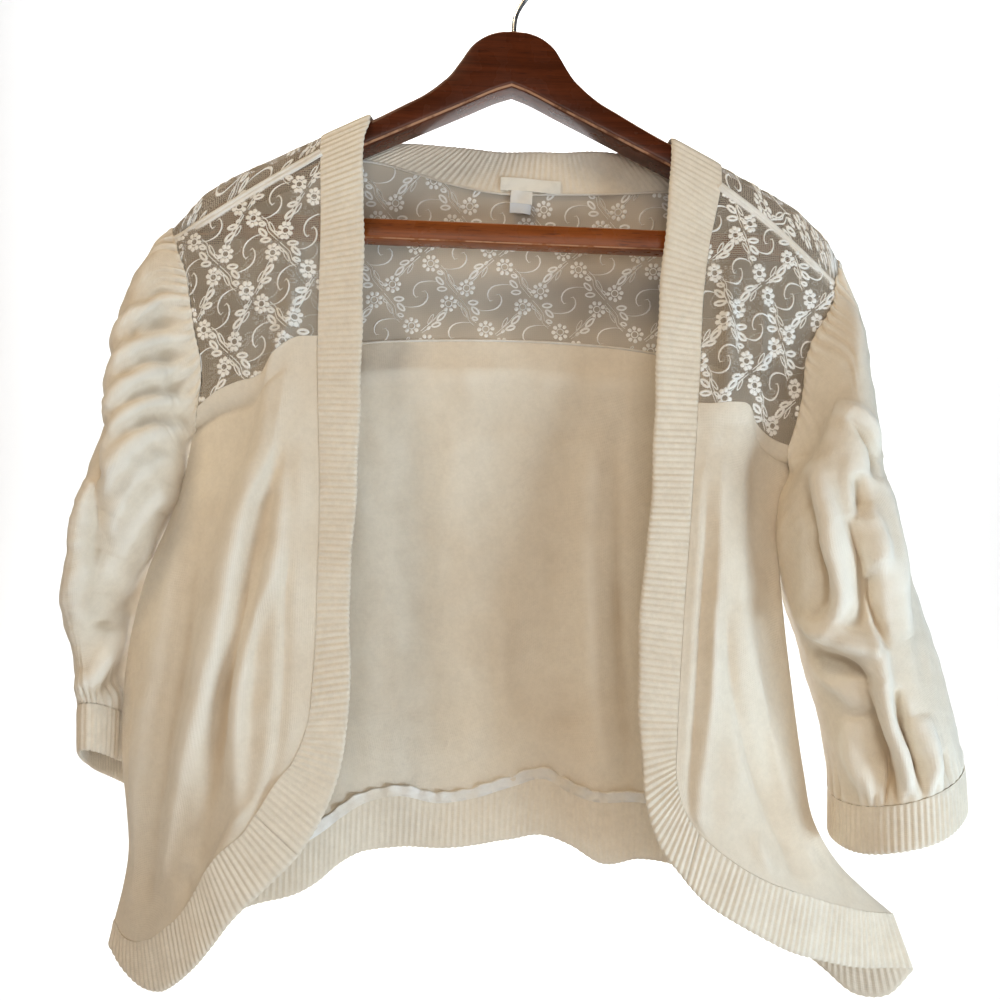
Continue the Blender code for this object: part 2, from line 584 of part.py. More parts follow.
def sleeve(name, rings, folds, cord, sign):
    """A gathered sleeve with folds, gathers at its head and puckers beside its cord."""
    count, rows = SLEEVE_COLUMNS, SLEEVE_ROWS
    flat = np.stack(rings).reshape(len(rings), -1)
    size = np.linalg.norm(np.diff(np.stack(rings), axis=0), axis=2).mean(axis=1)
    at = np.concatenate([[0], np.cumsum(size)]) / size.sum()
    s = np.linspace(0, 1, rows)
    slope = np.gradient(flat, at, axis=0)
    i = np.clip(np.searchsorted(at, s, side="right") - 1, 0, len(at) - 2)
    h = (at[i + 1] - at[i])[:, None]
    t = (s - at[i])[:, None] / h
    grid = ((2 * t**3 - 3 * t**2 + 1) * flat[i] + (t**3 - 2 * t**2 + t) * h * slope[i]
            + (3 * t**2 - 2 * t**3) * flat[i + 1] + (t**3 - t**2) * h * slope[i + 1])
    grid = grid.reshape(rows, count, 3)
    normal = outward(grid, sign, ring=True)
    degrees = np.arange(count) * 360 / count
    lift = np.zeros((rows, count))
    ends = np.clip(s / 0.12, 0, 1) * np.clip((1 - s) / 0.10, 0, 1)
    for begin, end, start, stop, half_width, height in folds:
        run = np.clip((s - start) / (stop - start), 0, 1)
        place = begin + (end - begin) * run
        off = (degrees[None] - place[:, None] + 180) % 360 - 180
        lift += (height * np.exp(-((off / half_width) ** 2))
                 * (np.sin(math.pi * run) ** 0.8 * ends)[:, None])
    grid = grid + normal * lift[:, :, None]
    normal = outward(grid, sign, ring=True)
    wrist = grid[-1].copy(), normal[-1]
    for line, inner in ((0, 1), (-1, -2)):
        grid[line] += across_edge(grid[line], grid[inner], normal[line], True) * SEAM_GAP / 2
    cap = np.exp(-((((degrees + 180) % 360 - 180) / 95) ** 4))
    gathers = (GATHER_HEIGHT * (np.arange(count) % 2)[None] * cap[None]
               * np.exp(-((s / 0.09) ** 2))[:, None])
    outer = grid + normal * (JERSEY / 2 + gathers)[:, :, None]
    inner = grid - normal * JERSEY / 2
    fine_at = np.linspace(0, rows - 1, (rows - 1) * PUCKER_STEPS + 1)
    strength = {(cord - 1) % count: 0.45, cord % count: 1.0, (cord + 1) % count: 0.45}
    points, chains = [], []
    total = 0
    for j in range(count):
        spots = fine_at if j in strength else np.arange(rows, dtype=float)
        column = np.stack([np.interp(spots, np.arange(rows), outer[:, j, k]) for k in range(3)], 1)
        if j in strength:
            facing = np.stack([np.interp(spots, np.arange(rows), normal[:, j, k])
                               for k in range(3)], 1)
            rise = (PUCKER_HEIGHT * strength[j] * (np.arange(len(spots)) % 2)
                    * np.clip((spots / (rows - 1) - 0.08) / 0.1, 0, 1))
            column += facing * rise[:, None]
        points.append(column)
        chains.append((list(range(total, total + len(spots))), list(spots)))
        total += len(spots)
    points.append(inner.reshape(-1, 3))
    flip = sign < 0
    faces, even_at = [], list(range(rows))
    for j in range(count):
        k = (j + 1) % count
        (here, here_at), (there, there_at) = chains[j], chains[k]
        faces += rim(here, there, here_at, there_at, not flip)
        faces += rim([total + i * count + j for i in even_at], [total + i * count + k for i in even_at],
                     even_at, even_at, flip)
        head = [here[0], total + j, total + k, there[0]]
        last = total + (rows - 1) * count
        foot = [here[-1], there[-1], last + k, last + j]
        faces += [head[::-1], foot[::-1]] if flip else [head, foot]
    solid(name, np.concatenate(points), faces, CREAM)
    return [np.concatenate([rows, rows[:1]]) for rows in wrist]


def over_arm(seam_x, opening_x, table):
    """A front band's rows with the part that lies over the hanger's arm put before them."""
    rows = []
    for depth, rise in OVER_ARM[::-1]:
        row = []
        for x in (seam_x, opening_x):
            row += [x, depth * 1.02, arm_top(x) + rise + 0.5]
        rows.append(row)
    first = [seam_x * 0.985, 14.3, arm_top(seam_x) - 5.5, opening_x * 0.985, 14.8,
             arm_top(opening_x) - 5.5]
    return [first] + rows + [list(row) for row in table]


def arm_top(x):
    """The height of the hanger's top edge at a place across."""
    return float(np.interp(abs(x), [p[0] for p in HANGER_TOP], [p[1] for p in HANGER_TOP]))


def back_yoke():
    """The lace back yoke: two caps over the hanger's arms joined to the part behind the neck."""
    caps = []
    for tip, shoulder, seam_x in ((TIP_RIGHT, SHOULDER_RIGHT, FRONT_SEAM_X[0]),
                                  (TIP_LEFT, SHOULDER_LEFT, FRONT_SEAM_X[1])):
        strip, outer = edge(shoulder)[::-1], np.array(tip, float)
        neck_end = np.array(NECK_BAND[0 if seam_x < 0 else -1][:3], float)
        columns = []
        for share in CAP_SHARES:
            start = strip[round(share * (len(strip) - 1))]
            x = start[0]
            column = [start]
            for depth, rise in OVER_ARM:
                column.append([x, depth, arm_top(x) + rise])
            column.append([x + (neck_end[0] - seam_x) * share, 14.5, arm_top(x) - 6])
            columns.append(np.array(column))
        columns[0] = outer
        columns[-1][-1] = neck_end
        caps.append(np.stack(columns, axis=1))
    right, left = caps[0], caps[1][:, ::-1]
    over = len(CAP_SHARES) - 1
    neck = even(edge([row[:3] for row in NECK_BAND]), len(BACK_COLUMNS) - 2 * over)
    top = np.concatenate([right[-1], neck[1:-1], left[-1]])
    near = smooth(ARMHOLE_BACK_RIGHT, BACK_YOKE_DOWN + 1)
    far = smooth(ARMHOLE_BACK_LEFT, BACK_YOKE_DOWN + 1)
    u = np.linspace(0, 1, len(top))[None, :, None]
    v = np.linspace(0, 1, BACK_YOKE_DOWN + 1)[:, None, None]
    foot = even(edge(YOKE_SEAM_BACK), BACK_COLUMNS)
    corners = ((1 - u) * (1 - v) * top[0] + u * (1 - v) * top[-1]
               + (1 - u) * v * foot[0] + u * v * foot[-1])
    main = ((1 - v) * top[None] + v * foot[None] + (1 - u) * near[:, None] + u * far[:, None]
            - corners)
    main[:, :, 1] += (1.5 * np.sin(math.pi * v) * np.sin(math.pi * u))[:, :, 0]
    points, faces = [main.reshape(-1, 3)], grid_faces(BACK_YOKE_DOWN + 1, len(top))
    total = main.shape[0] * main.shape[1]
    index = {"main": np.arange(total).reshape(main.shape[:2])}
    for name, cap, first in (("right", right, 0), ("left", left, len(top) - over - 1)):
        rows, columns = cap.shape[:2]
        index[name] = np.arange(rows * columns).reshape(rows, columns) + total
        index[name][-1] = first + np.arange(columns)
        points.append(cap[:-1].reshape(-1, 3))
        total += (rows - 1) * columns
        at = index[name]
        faces += [[int(at[i, j]), int(at[i, j + 1]), int(at[i + 1, j + 1]), int(at[i + 1, j])]
                  for i in range(rows - 1) for j in range(columns - 1)]
    return np.concatenate(points), faces, index


def band_edge(*tables):
    """The seam edge of the bands as one dense line."""
    return edge(*[[row[:3] for row in table] for table in tables])


def cut_at(line, height):
    """The parts of a line above and below the place where it first reaches a height."""
    i = int(np.argmax(line[:, 2] < height))
    return line[:i + 1], line[i:]


def front(sign, bands, shoulder, shoulder_out, yoke_seam, armhole, underarm, side_seam, folds, yoke_folds):
    """The grids and normals of the lace front yoke and the plain front panel of one side."""
    seam, side_line = edge(yoke_seam), edge(side_seam) - [0, 0.9, 0]
    yoke_inner, panel_inner = cut_at(band_edge(bands[0]), yoke_seam[0][2])
    yoke_inner[-1] = panel_inner[0] = seam[0]
    yoke_inner[0] = shoulder[0]
    yoke = patch(shoulder, seam, yoke_inner, edge(armhole), PANEL_COLUMNS, YOKE_DOWN)
    yoke = fold(yoke, PANEL_COLUMNS, yoke_folds, 1.5, -1)
    outer = np.concatenate([edge(underarm), side_line[1:]])
    foot = band_edge(bands[1])
    foot[-1] = outer[-1]
    body = patch(seam, foot, panel_inner, outer, PANEL_COLUMNS, PANEL_DOWN)
    body = fold(body, PANEL_COLUMNS, folds, 6, -1)
    yoke_out, body_out = outward(yoke, sign), outward(body, sign)
    agree(yoke_out[-1], body_out[0])
    yoke_out[0] = nearest(yoke[0], shoulder, shoulder_out, 8.0)[2]
    return yoke, yoke_out, body, body_out


def hanger():
    """The wooden hanger, its bar and its steel hook."""
    top = HANGER_TOP + HANGER_BOTTOM
    outline = top + [(-x, z) for x, z in top[::-1] if x > 0]
    n = len(outline)
    points = [(x, -WOOD_HALF, z) for x, z in outline] + [(x, WOOD_HALF, z) for x, z in outline]
    faces = [list(range(n))[::-1], list(range(n, 2 * n))]
    faces += [[i, (i + 1) % n, n + (i + 1) % n, n + i] for i in range(n)]
    wood = solid("hanger_body", points, faces, MAHOGANY, 0.3)
    soften(wood, 2.6)
    cutters = collection("cutters")
    hole = cylinder("stem_hole", WIRE_RADIUS + HOLE_CLEARANCE, STEM_BOTTOM - 1, -60, cutters)
    cut = wood.modifiers.new("hole", "BOOLEAN")
    cut.operation, cut.object, cut.solver = "DIFFERENCE", hole, "EXACT"
    apply_modifiers(wood)
    bpy.data.objects.remove(hole)
    size = (BAR_HALF_LENGTH, BAR_HALF_Y, (BAR_TOP - BAR_BOTTOM) / 2)
    middle = (BAR_TOP + BAR_BOTTOM) / 2
    corners = [(i * size[0], j * size[1], middle + k * size[2])
               for i in (-1, 1) for j in (-1, 1) for k in (-1, 1)]
    box = [[0, 1, 3, 2], [4, 6, 7, 5], [0, 4, 5, 1], [2, 3, 7, 6], [0, 2, 6, 4], [1, 5, 7, 3]]
    bar = solid("hanger_bar", corners, box, BAR_BROWN, 0.3)
    soften(bar, 1.6)
    hook()


def soften(made, radius):
    """Rounds the edges of a wooden piece."""
    round_off = made.modifiers.new("round", "BEVEL")
    round_off.width, round_off.segments = radius * MM, 2
    round_off.limit_method, round_off.angle_limit = "ANGLE", math.radians(50)
    round_off.use_clamp_overlap = True
    apply_modifiers(made)


def cylinder(name, radius, low, high, home):
    """An upright cylinder on the Z axis."""
    turn = np.arange(16) * 2 * math.pi / 16
    ring = np.stack([radius * np.cos(turn), radius * np.sin(turn)], axis=1)
    points = [(x, y, low) for x, y in ring] + [(x, y, high) for x, y in ring]
    faces = [list(range(16))[::-1], list(range(16, 32))]
    faces += [[i, (i + 1) % 16, 16 + (i + 1) % 16, 16 + i] for i in range(16)]
    return solid(name, points, faces, STEEL, home=home)


def hook():
    """The wire hook: a stem, a bend to one side and a round crook that ends past its far side."""
    turn = np.radians(np.linspace(-58, 200, 17))
    crook = [(HOOK_RADIUS * math.cos(a), WIRE_RADIUS - HOOK_RADIUS + HOOK_RADIUS * math.sin(a))
             for a in turn]
    path = [(0, STEM_BOTTOM), (0, -74), (0, -60), (1.0, -54), (3.6, -48), (7.2, -42.6)] + crook
    line = bpy.data.curves.new("hook_line", "CURVE")
    line.dimensions, line.bevel_depth = "3D", WIRE_RADIUS * MM
    line.bevel_resolution, line.use_fill_caps = 2, True
    spline = line.splines.new("POLY")
    spline.points.add(len(path) - 1)
    for point, (x, z) in zip(spline.points, path):
        point.co = (x * MM, 0, z * MM, 1)
    wire = bpy.data.objects.new("hanger_hook", line)
    garment.objects.link(wire)
    mesh = bpy.data.meshes.new_from_object(wire.evaluated_get(
        bpy.context.evaluated_depsgraph_get()))
    welded = bmesh.new()
    welded.from_mesh(mesh)
    bmesh.ops.remove_doubles(welded, verts=welded.verts, dist=0.00001)
    welded.to_mesh(mesh)
    welded.free()
    bpy.data.objects.remove(wire)
    made = bpy.data.objects.new("hanger_hook", mesh)
    garment.objects.link(made)
    mesh.materials.clear()
    mesh.materials.append(material("hanger_hook_material", STEEL, 0.3, 1.0))


def tag(name, left, right, top, foot, lift, columns, rows):
    """A small flat tag that follows the inside of the neck band."""
    line = smooth(NECK_BAND, 200)
    x = np.linspace(left, right, columns + 1)
    seam = np.interp(x, line[:, 0], line[:, 1])
    z = np.linspace(top, foot, rows + 1)
    slope = np.interp(x, [-5, 36], [0, -1.2])
    grid = np.stack([np.broadcast_to(x, (rows + 1, columns + 1)),
                     np.broadcast_to(seam - lift, (rows + 1, columns + 1)),
                     z[:, None] + slope[None]], axis=2)
    tag_wall = solid(name, grid.reshape(-1, 3), grid_faces(rows + 1, columns + 1), LABEL_CREAM)
    coat = tag_wall.modifiers.new("wall", "SOLIDIFY")
    coat.thickness, coat.offset = LABEL * MM, 0
    apply_modifiers(tag_wall)


for thing in list(bpy.data.objects):
    bpy.data.objects.remove(thing)
garment = collection("cardigan_on_hanger")
hanger()
back_points, back_faces, back_index = back_yoke()
back_out = point_normals(back_points, back_faces)
cap_right, cap_left, behind = (back_index[k] for k in ("right", "left", "main"))
rights = front(1, (FRONT_BAND_RIGHT, HEM_BAND_RIGHT), back_points[cap_right[0, ::-1]],
               back_out[cap_right[0, ::-1]], YOKE_SEAM_RIGHT, ARMHOLE_FRONT_RIGHT, UNDERARM_RIGHT,
               SIDE_RIGHT, FOLDS_RIGHT, YOKE_FOLDS_RIGHT)
lefts = front(-1, (FRONT_BAND_LEFT, HEM_BAND_LEFT), back_points[cap_left[0]],
              back_out[cap_left[0]], YOKE_SEAM_LEFT, ARMHOLE_FRONT_LEFT, UNDERARM_LEFT,
              SIDE_LEFT, FOLDS_LEFT, YOKE_FOLDS_LEFT)
side_right, side_left = edge(SIDE_RIGHT) + [0, 0.9, 0], edge(SIDE_LEFT) + [0, 0.9, 0]
under_right = np.array([(-200, 13, -321), (-198.5, 7, -335), side_right[0]])
under_left = np.array([(200, 13, -321), (198, 7, -338), side_left[0]])
body = patch(edge(YOKE_SEAM_BACK), band_edge(HEM_BAND_BACK),
             np.concatenate([edge(under_right), side_right[1:]]),
             np.concatenate([edge(under_left), side_left[1:]]), BACK_COLUMNS, BACK_DOWN)
body = fold(body, BACK_COLUMNS, FOLDS_BACK, 9, 1)
body_out = outward(body, 1)
shared = unit(body_out[0] + back_out[behind[-1]])
body_out[0], back_out[behind[-1]] = shared, shared
ribbed("hem_band_back", HEM_BAND_BACK, RIB_PITCH, 1, (body[-1].copy(), body_out[-1]))
panel("back_panel", ease(body, body_out), body_out, JERSEY, CREAM)

over = len(CAP_SHARES) - 1
neck_line = behind[0, over:len(behind[0]) - over]
ribbed("neck_band", NECK_BAND, RIB_PITCH, -1, (back_points[neck_line], back_out[neck_line]))
for side, sign, bands, pieces, cap, seam_x, opening_x in (
    ("right", 1, (FRONT_BAND_RIGHT, HEM_BAND_RIGHT), rights, cap_right[::-1, -1],
     FRONT_SEAM_X[0], -91.5),
    ("left", -1, (FRONT_BAND_LEFT, HEM_BAND_LEFT), lefts, cap_left[::-1, 0],
     FRONT_SEAM_X[1], 105.5),
):
    yoke, yoke_out, body, body_out = pieces
    line = np.concatenate([back_points[cap], yoke[1:, 0], body[1:, 0], body[-1, 1:]])
    facing = np.concatenate([back_out[cap], yoke_out[1:, 0], body_out[1:, 0], body_out[-1, 1:]])
    ribbed(f"front_band_{side}", over_arm(seam_x, opening_x, bands[0]), RIB_PITCH, sign,
           (line, facing), OVER_ARM_RIBS)
    ribbed(f"hem_band_{side}", bands[1], RIB_PITCH, sign, (line, facing))
    panel(f"front_yoke_{side}", ease(yoke, yoke_out), yoke_out, LACE, LACE_CREAM, sign < 0)
    panel(f"front_panel_{side}", ease(body, body_out), body_out, JERSEY, CREAM, sign < 0)

eased = back_points.copy()
for line, inward in ((behind[-1], behind[-2]), (behind[1:, 0], behind[1:, 1]),
                     (behind[1:, -1], behind[1:, -2]), (neck_line[1:-1], behind[1, over + 1:-over - 1]),
                     (cap_right[0], cap_right[1]), (cap_left[0], cap_left[1]),
                     (cap_right[:, 0], cap_right[:, 1]), (cap_left[:, -1], cap_left[:, -2]),
                     (cap_right[:, -1], cap_right[:, -2]), (cap_left[:, 0], cap_left[:, 1])):
    way = across_edge(back_points[line], back_points[inward], back_out[line])
    eased[line] += way * SEAM_GAP / 2
wall("back_yoke", eased, back_faces, back_out, LACE, LACE_CREAM)
for side, sign, tip, front_edge, under, back_edge, table, cuff, folds, line in (
    ("right", -1, TIP_RIGHT, ARMHOLE_FRONT_RIGHT, UNDERARM_RIGHT, ARMHOLE_BACK_RIGHT,
     SLEEVE_RIGHT, CUFF_RIGHT, SLEEVE_FOLDS_RIGHT, RUCHING_RIGHT),
    ("left", 1, TIP_LEFT, ARMHOLE_FRONT_LEFT, UNDERARM_LEFT, ARMHOLE_BACK_LEFT,
     SLEEVE_LEFT, CUFF_LEFT, SLEEVE_FOLDS_LEFT, RUCHING_LEFT),
):
    tip = edge(tip)
    middle = int(np.argmax(tip[:, 2]))
    front_half = np.concatenate([tip[:middle + 1][::-1], edge(front_edge, under)[1:]])
    low = under_right if side == "right" else under_left
    back_half = np.concatenate([edge(low)[::-1], edge(back_edge)[::-1][1:],
                                tip[middle:][::-1][1:]])
    rings = [armhole_ring(front_half, back_half, sign, SLEEVE_COLUMNS)]
    rings += [ring_points(row, SLEEVE_COLUMNS) for row in table]
    wrist = sleeve(f"sleeve_{side}", rings, folds, line, sign)
    loops = [ring_points(row, 60) for row in cuff]
    loops = [np.concatenate([loop, loop[:1]]) for loop in loops]
    ribbed(f"cuff_{side}", np.concatenate(loops, axis=1), CUFF_PITCH, sign, wrist, ring=True)
tag("neck_label", -5, 36, -158.5, -167.5, 2.0, 4, 2)
tag("size_tag", 2, 17, -168, -183, 2.4, 2, 2)
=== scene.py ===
"""Dresses the open-front cardigan on its wooden hanger.

Lengths in the tables are millimetres, as in the frame's part: X across the shoulders, Y into the
back, Z up, origin at the inner top of the hook. "Right" and "left" are the wearer's, so the
right side is at negative X. Meshes are made in metres.
"""

import math

import bpy
import numpy as np
from mathutils import Matrix, Vector


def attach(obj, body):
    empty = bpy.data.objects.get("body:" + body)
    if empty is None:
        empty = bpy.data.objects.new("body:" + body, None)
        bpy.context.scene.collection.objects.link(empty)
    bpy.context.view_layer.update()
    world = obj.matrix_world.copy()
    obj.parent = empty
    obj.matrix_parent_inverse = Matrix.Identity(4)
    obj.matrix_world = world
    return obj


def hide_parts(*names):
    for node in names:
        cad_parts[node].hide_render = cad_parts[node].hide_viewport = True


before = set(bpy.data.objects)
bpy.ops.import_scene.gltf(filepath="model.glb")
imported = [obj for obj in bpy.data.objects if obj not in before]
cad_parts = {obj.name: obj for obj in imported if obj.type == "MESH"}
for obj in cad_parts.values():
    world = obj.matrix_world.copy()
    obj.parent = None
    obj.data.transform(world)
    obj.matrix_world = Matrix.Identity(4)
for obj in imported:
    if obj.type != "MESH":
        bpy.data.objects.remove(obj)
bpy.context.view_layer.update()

bl_info = {
    "name": "Cardigan on a hanger",
    "version": (1, 0, 0),
    "blender": (4, 5, 0),
    "location": "3D View > Sidebar > Cardigan",
    "description": "Knit, lace, folds and gathers of an open-front cardigan, with its wooden hanger",
    "category": "Add Mesh",
}

MM = 0.001

# Walls
JERSEY = 1.2
BAND = 1.7  # a band's wall in the valleys between its ribs
RIB_HEIGHT = 0.7
RIB_PITCH = 4.0
CUFF_PITCH = 3.7
SEAM_GAP = 0.3

# Hanger
WOOD_HALF = 11.0  # half of the wood's thickness
ARM_ROUND, BAR_ROUND = 3.2, 1.9  # radius of the wood's long edges
BAR_HALF_Y = 8.0
BAR_TOP, BAR_BOTTOM = -199.4, -213.0
BAR_HALF_LENGTH = 188.0
WIRE_RADIUS = 1.75
HOOK_RADIUS = 21.75
STEM_BOTTOM = -92.0

FRONT_SEAM_X = (-122, 139.5)  # where the front bands' seams cross the arms
FRONT_OPENING_X = (-91.5, 105.5)  # where their opening edges cross the arms

# How the cloth lies over an arm: depth, and rise over the arm's top edge.
OVER_ARM = [(-13.8, -5.0), (-12.0, 1.0), (-5.0, 3.2), (5.0, 3.2), (12.0, 1.0)]

# The hanger's half outline from the top of its hump to the arm's end.
HANGER_TOP = [  # x, z
    (0, -70.0), (11, -71.2), (20, -75), (28, -82), (34, -91.5), (40, -100.5), (47, -107.5),
    (57, -115.5), (70, -123), (85, -131.5), (102, -140.5), (120, -149), (138, -158.3),
    (155, -167.2), (175, -177.6), (186, -184), (195, -190.5), (201, -197.5), (204, -206),
]
HANGER_BOTTOM = [  # x, z
    (202, -213.5), (198, -216.8), (193, -216.8), (188.1, -214.5), (188.1, -198.2), (172, -190.1),
    (120, -165), (70, -140.8), (30, -121.5), (9, -111.4), (0, -108.2),
]
HANGER_TIP = [(188.1, -214.5), (193, -216.8), (198, -216.8), (202, -213.5), (204, -207.6)]  # x, z
STEM_BEND = [(0, -66), (0, -60), (1.0, -54), (3.6, -48), (7.2, -42.6)]  # wire's bend below the crook

# Right front band, from the shoulder to the hem: seam edge, then opening edge.
FRONT_BAND_RIGHT = [  # seam x, y, z, opening x, y, z
    (-122, -15, -160, -93.5, -15.5, -146), (-121, -17, -172, -94.5, -18, -160),
    (-119, -20, -200, -92, -20, -190), (-117, -23, -240, -89.5, -23, -235),
    (-115, -26, -290, -87.5, -26, -288), (-111, -29, -340, -86, -29, -340),
    (-107, -33, -390, -85, -33, -390), (-105, -37, -440, -85.5, -37, -440),
    (-104, -40, -490, -82.5, -40, -486), (-106, -43, -525, -82, -42, -524),
    (-112, -45, -543, -86, -44, -552), (-121, -47, -557, -94, -46, -577),
    (-132, -48, -575, -106, -47, -597),
]
# Right hem band, from the corner seam to the side seam.
HEM_BAND_RIGHT = FRONT_BAND_RIGHT[-1:] + [
    (-140, -48.5, -587, -119, -48, -611),
    (-150, -48, -596, -131, -47, -624),
    (-158, -46, -607, -144, -45, -638),
    (-165, -42, -621, -155, -41, -653),
    (-174, -37, -636, -166, -36, -668),
    (-185, -31, -647, -178, -29, -680),
    (-197, -23, -657, -191, -21, -688),
    (-209, -14, -662, -206, -13, -688),
    (-219, -7, -661, -219, -6, -681),
    (-227, -1.5, -653, -229.5, -1.5, -669),
]
FRONT_BAND_LEFT = [
    (138.5, -15, -170, 105.5, -15.5, -154), (136, -17, -185, 105, -18, -167),
    (131, -20, -212, 103, -20, -200), (127.5, -23, -245, 100, -23, -240),
    (126, -26, -290, 98.5, -26, -288), (124, -29, -340, 98, -29, -340),
    (121.5, -33, -390, 96.5, -33, -390), (118.5, -37, -440, 92, -37, -438),
    (116, -41, -490, 91.5, -41, -488), (115, -43, -525, 94, -43, -528), (115, -45, -545, 98, -45, -560),
    (119.5, -46, -561, 108, -46, -586), (129, -46, -575, 122, -46.5, -603),
]
HEM_BAND_LEFT = FRONT_BAND_LEFT[-1:] + [
    (144, -45.5, -587, 135, -46, -615),
    (160, -44, -597, 152, -44.5, -626),
    (178, -40.5, -605, 172, -41, -636),
    (196, -35.5, -611.5, 191, -36, -645),
    (214, -29.5, -617.5, 211, -29, -651.5),
    (231, -23, -622.5, 232, -22, -656),
    (246, -15.5, -626, 253, -14, -659),
    (258, -10, -628, 271, -9.5, -660.5),
]
# Neck band behind the hanger, from the wearer's right shoulder to the left.
NECK_BAND = [
    (-119, 14.5, -156, -88, 15, -142), (-112, 15, -153.5, -82, 16.5, -139.5),
    (-98, 16, -152.5, -70, 18, -138), (-84, 17, -154, -56, 19, -137.5), (-66, 18, -158, -40, 20, -138),
    (-40, 19, -164.5, -22, 21, -139), (-5, 20, -169.5, 2, 21.5, -139.5),
    (34, 20, -168.5, 32, 21, -138.5), (73, 19, -167, 58, 20, -137.5), (104, 17, -165, 82, 18, -139.5),
    (122, 15.7, -164.2, 93, 16.5, -143), (138, 14.5, -165, 103, 15, -148),
]
# Back hem band, from the right side seam to the left one.
HEM_BAND_BACK = [
    (-226, 2.5, -653, -227, 2.5, -671), (-204, 8, -644, -203, 8, -668),
    (-178, 10, -632, -178, 9.5, -658), (-143, 12, -619, -144, 11.5, -646),
    (-118, 16, -609, -117, 15.7, -638.5), (-104, 19, -601, -103.5, 19, -631),
    (-92, 22, -591.5, -92, 22.3, -621.5), (-79, 26, -583, -79, 26.5, -614),
    (-55, 31.5, -577.5, -55, 32, -611), (-28, 33.5, -581.5, -29, 35, -611.5),
    (-6, 34.5, -578, -5, 36, -609), (20, 35.5, -569.5, 19, 36.5, -604.5),
    (42, 36, -563.5, 41, 36, -600), (58, 35, -571, 60, 34, -606), (72, 34, -576, 78, 33, -615.5),
    (108, 34, -576, 107, 34, -613), (138, 32, -582, 137, 32.5, -617), (172, 26, -600, 171, 27, -634),
    (204, 16, -622, 202, 17.5, -656), (222, 9.5, -632.5, 223, 10.2, -670),
    (236, 4, -636.5, 241, 3.8, -682), (249, -1.2, -635.5, 258.5, -2, -680),
    (259.5, -5.8, -630, 273, -6, -662),
]

# Seams between the lace yokes and the plain panels.
YOKE_SEAM_RIGHT = [
    (-115, -25.7, -283), (-129, -28, -285), (-141, -29, -294), (-150, -26, -309),
    (-166, -22, -314), (-180, -17, -320), (-192, -12, -329),
]
YOKE_SEAM_LEFT = [
    (125, -27.5, -316), (134, -29.5, -316), (146, -30, -314.5), (156, -27, -315),
    (163, -21, -326), (174, -15, -334), (187, -11, -338),
]
YOKE_SEAM_BACK = [
    (-200, 13, -321), (-176, 17, -302), (-148, 20, -288), (-93, 23, -276), (-30, 25, -271),
    (43, 25, -270), (105, 23, -275), (155, 20, -287), (180, 17, -302), (200, 13, -321),
]
# Front shoulder seam, a little below the ridge, from the band to the armhole.
SHOULDER_RIGHT = [(-122.5, -15, -159), (-147, -14.5, -174), (-175, -14.5, -193), (-203, -13, -212),
                  (-215, -8, -218)]
SHOULDER_LEFT = [(138.5, -15, -170), (155, -14.5, -181), (175, -14.5, -197), (199, -13.5, -218),
                 (215, -8.5, -230)]
# Armholes: shoulder seam to underarm in front, then the shoulder's tip and the back.
ARMHOLE_FRONT_RIGHT = [(-215, -8, -218), (-210, -12, -230), (-204, -14, -243), (-200, -15, -261),
                       (-196, -15, -280), (-191, -14, -300), (-190, -13, -315), (-192, -12, -329)]
UNDERARM_RIGHT = [(-192, -12, -329), (-194, -7, -338), (-197, 1, -344)]
ARMHOLE_FRONT_LEFT = [(215, -8.5, -230), (213.5, -12.5, -241), (208, -14.5, -254), (200, -15, -268),
                      (195.5, -15, -283), (194, -14, -306), (190.5, -12.5, -325), (187, -11, -338)]
UNDERARM_LEFT = [(187, -11, -338), (189.5, -6.5, -346), (194, 1, -350)]
TIP_RIGHT = [(-215, -8, -218), (-216.5, -7, -214.5), (-217.5, -4.5, -211.5), (-218, -1, -210),
             (-218, 4, -210.5), (-217, 9, -214), (-214, 14, -227)]
TIP_LEFT = [(215, -8.5, -230), (216.5, -8, -224), (217.8, -6.5, -218), (218.5, -2.5, -213),
            (218.5, 3.5, -211.5), (217.5, 9, -215), (214, 14, -227)]
ARMHOLE_BACK_RIGHT = [(-214, 14, -227), (-208, 16, -250), (-203, 16, -280), (-201, 15, -302),
                      (-200, 13, -321)]
ARMHOLE_BACK_LEFT = [(214, 14, -227), (208, 16, -250), (203, 16, -280), (201, 15, -302),
                     (200, 13, -321)]
# Side seams from underarm to hem band.
SIDE_RIGHT = [(-197, 1, -344), (-201, 1, -373), (-209, 1, -403), (-219, 1, -430), (-226, 1, -460),
              (-230, 1, -490), (-231, 1, -520), (-229, 1, -556), (-224, 1, -586), (-221, 1, -612),
              (-223, 1, -634), (-226.5, 0.5, -653)]
SIDE_LEFT = [(194, 1, -350), (186, 1, -377), (185, 1, -410), (189, 1, -450), (196, 1, -500),
             (203, 0, -545), (210, -2, -577), (225, -5, -601), (243, -7, -617), (258.5, -8.3, -629)]

